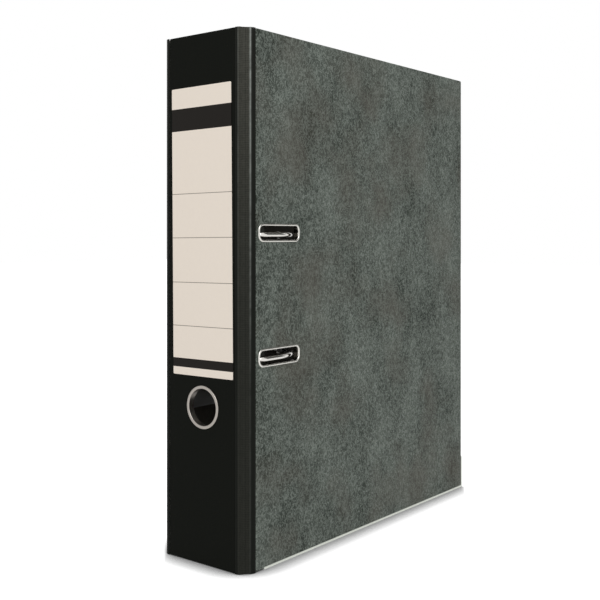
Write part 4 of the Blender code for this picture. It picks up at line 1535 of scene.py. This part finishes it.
@dataclass
class Studio:
    """Camera, floor, world, lamp and flags.  Places are in metres, and shadow distances in millimetres."""

    eye: Point3 = (-0.57997, -0.43452, 0.21294)
    heading: float = 0.898
    lens_mm: float = 56.952
    sensor_mm: float = 36.0
    shift: float = -0.106
    sky: float = 0.62
    floor_half: float = 6.0
    floor_colour: str = "#E8E8E8"
    floor_shown: str = "#8C8C8C"
    floor_glow: float = 1.3
    gloss_glow: float = 0.4
    contact: float = 25.0
    contact_range: Point2 = (0.4, 0.97)
    fade: float = 1.5
    # Where the painted contact shadow is cut off past a foot corner: the cut's edges across the sight line, and its
    # reach from the corner, in millimetres.
    shadow_cut: Point2 = (-1.0, 3.0)
    shadow_cut_reach: Point2 = (26.0, 40.0)
    feet: tuple[Point3, ...] = ((0.0, 3.8, 1.0), (276.0, 74.2, -1.0))  # A foot corner's u and n, and its hand.
    lamp_place: Point3 = (-1.3, -1.5, 1.7)
    lamp_aim: Point3 = (0.0, 0.0, 0.17)
    lamp_size: float = 1.6
    lamp_power: float = 26.0
    overhead: tuple[Point3, ...] = ((0.5, -2.6, 1.5), (3.0, -2.6, 1.5), (3.0, 0.4, 2.4), (0.5, 0.4, 2.4))
    right: tuple[Point3, ...] = ((1.6, -3.0, 0.2), (1.6, -0.7, 0.2), (1.6, -0.7, 2.2), (1.6, -3.0, 2.2))

    def camera(self) -> None:
        """Places a level camera whose shift sets the horizon."""
        lens = bpy.data.cameras.new("camera")
        lens.lens = self.lens_mm
        lens.sensor_width = self.sensor_mm
        lens.shift_y = self.shift
        lens.clip_start = 0.01
        lens.clip_end = 50.0
        made = bpy.data.objects.new("camera", lens)
        made.location = self.eye
        made.rotation_euler = (0.5 * math.pi, 0.0, -self.heading)
        bpy.context.scene.collection.objects.link(made)
        bpy.context.scene.camera = made

    def seen(self, draw: Nodes) -> Socket:
        """Tells what is looked at from what gives light.

        Args:
            draw: The nodes of the surround or of a surface.

        Returns:
            1 for what the camera, gloss and glass see, and 0 for light that falls on the object.
        """
        path = add(draw.tree, "ShaderNodeLightPath").outputs
        gloss = draw.maths("MAXIMUM", path["Is Camera Ray"], path["Is Glossy Ray"])
        return draw.maths("MAXIMUM", gloss, path["Is Transmission Ray"])

    def world(self) -> None:
        """A white surround that gives an even light."""
        made = bpy.data.worlds.new("surround")
        made.use_nodes = True
        made.node_tree.nodes.clear()
        draw = Nodes(made.node_tree)
        inputs = {0: WHITE, 1: draw.ramp(self.seen(draw), start=self.sky)}
        light = add(draw.tree, "ShaderNodeBackground", inputs=inputs)
        add(draw.tree, "ShaderNodeOutputWorld", inputs={0: light.outputs[0]})
        bpy.context.scene.world = made

    def beyond(self, draw: Nodes, foot: Vector, hand: float) -> Socket:
        """Finds the floor past a foot corner of the file, where the painted contact shadow is cut off.

        Args:
            draw: The floor's nodes.
            foot: The foot corner.
            hand: 1 when the file is to the right of the corner, -1 when it is to the left.

        Returns:
            The share by which the painted contact shadow is cleared.
        """
        line = Vector((foot.x - self.eye[0], foot.y - self.eye[1], 0.0)).normalized()
        across = Vector((-line.y, line.x, 0.0)) * hand
        where = add(draw.tree, "ShaderNodeTexCoord").outputs["Object"]
        edges = [across.dot(foot) + offset * MM for offset in self.shadow_cut]
        past = draw.ramp(draw.measure("DOT_PRODUCT", where, across), *edges)
        reach = [distance * MM for distance in self.shadow_cut_reach]
        return draw.maths("MULTIPLY", past, draw.ramp(draw.measure("DISTANCE", where, foot), *reach, 1.0, 0.0))

    def floor_shader(self, draw: Nodes) -> Node:
        """Makes a matt floor with a glow that the camera sees dimmed near the file.

        Args:
            draw: The floor's nodes.

        Returns:
            The shader.
        """
        camera = add(draw.tree, "ShaderNodeLightPath").outputs["Is Camera Ray"]
        tone = draw.mixed(camera, self.floor_colour, self.floor_shown)
        matt = add(draw.tree, "ShaderNodeBsdfDiffuse", inputs={0: tone})
        inputs = {"Distance": self.contact * MM}
        # Painted contact shadow: ambient occlusion dims the glow that the camera sees near the file.
        near = add(draw.tree, "ShaderNodeAmbientOcclusion", {"samples": 8}, inputs).outputs["AO"]
        clear = draw.ramp(near, *self.contact_range)
        for u, n, hand in self.feet:
            clear = draw.maths("MAXIMUM", clear, self.beyond(draw, FILE.at(u, n, 0.0), hand))
        shadow = draw.maths("MULTIPLY", draw.maths("POWER", clear, self.fade), self.floor_glow)
        bright = draw.ramp(camera, start=self.gloss_glow, stop=shadow)
        inputs = {0: WHITE, 1: draw.maths("MULTIPLY", self.seen(draw), bright)}
        glow = add(draw.tree, "ShaderNodeEmission", inputs=inputs)
        return add(draw.tree, "ShaderNodeAddShader", inputs={0: matt.outputs[0], 1: glow.outputs[0]})

    def card(self, name: str, look: str, corners: Iterable[Point3], shader: Callable[[Nodes], Node]) -> Piece:
        """Makes a flat card.

        Args:
            name: The card's name.
            look: Its material's name.
            corners: Its four corners.
            shader: Adds its shader to its material's nodes.

        Returns:
            The card.
        """
        mesh = bpy.data.meshes.new(name)
        mesh.from_pydata(list(corners), [], [(0, 1, 2, 3)])
        made = bpy.data.materials.new(look)
        made.use_nodes = True
        made.node_tree.nodes.clear()
        surface = shader(Nodes(made.node_tree))
        add(made.node_tree, "ShaderNodeOutputMaterial", inputs={0: surface.outputs[0]})
        mesh.materials.append(made)
        return linked(name, mesh)

    def floor(self) -> None:
        """A plain pale floor that shows white, apart from the object's shadow, which is partly real shade from the
        lamp and sky and partly painted near the file.
        """
        corners = [(x * self.floor_half, y * self.floor_half, 0.0) for x, y in ((-1, -1), (1, -1), (1, 1), (-1, 1))]
        self.card("floor", "pale_floor", corners, self.floor_shader)

    def lamp(self) -> None:
        """A soft square lamp that faces the file's middle."""
        light = bpy.data.lights.new("key_lamp", "AREA")
        light.size = self.lamp_size
        light.energy = self.lamp_power
        made = bpy.data.objects.new("key_lamp", light)
        made.location = self.lamp_place
        made.rotation_euler = (Vector(self.lamp_aim) - Vector(self.lamp_place)).to_track_quat("-Z", "Y").to_euler()
        bpy.context.scene.collection.objects.link(made)

    def flag(self, name: str, corners: Sequence[Point3], colour: str) -> None:
        """A dark card that only shows in polished metal, as a product studio uses.

        Args:
            name: The card's name.
            corners: Its four corners.
            colour: Its colour.
        """
        inputs = {0: linear(colour), 1: 1.0}
        made = self.card(name, name, corners, lambda draw: add(draw.tree, "ShaderNodeEmission", inputs=inputs))
        for ray in ("camera", "diffuse", "transmission", "volume_scatter", "shadow"):
            setattr(made, f"visible_{ray}", False)

    def build(self) -> None:
        """Sets up the whole studio."""
        self.camera()
        self.world()
        self.floor()
        self.lamp()
        self.flag("overhead_flag", self.overhead, "#4A4A48")
        self.flag("right_flag", self.right, "#5A5A58")
        bpy.context.scene.view_settings.view_transform = "Standard"


def dress_label() -> None:
    """Prints the CAD label, which is shown as it is."""
    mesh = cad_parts["spine_label"].data
    mesh.materials.clear()
    mesh.materials.append(LABEL_STOCK.build())


def main() -> None:
    """Builds the file's looks and its studio."""
    logging.basicConfig(level=logging.INFO, format="%(message)s")
    dress_label()
    makers: list[Callable[[], object]] = []
    for side in Side:
        makers += [Cover(side).build, HingeCore(side).build]
        makers += [HingeCloth(side, face).build for face in Face]
    makers += [Spine().build, ThumbRing().build, SlotEyelets().build, ArchWire().build, Posts().build, Rivets().build]
    makers += [piece.build for piece in mechanism()]
    for maker in makers:
        made = maker()
        for piece in made if isinstance(made, list) else [made]:
            LOG.info("made %s, %d faces", piece.name, len(piece.data.polygons))
    Studio().build()


if __name__ == "__main__":
    main()
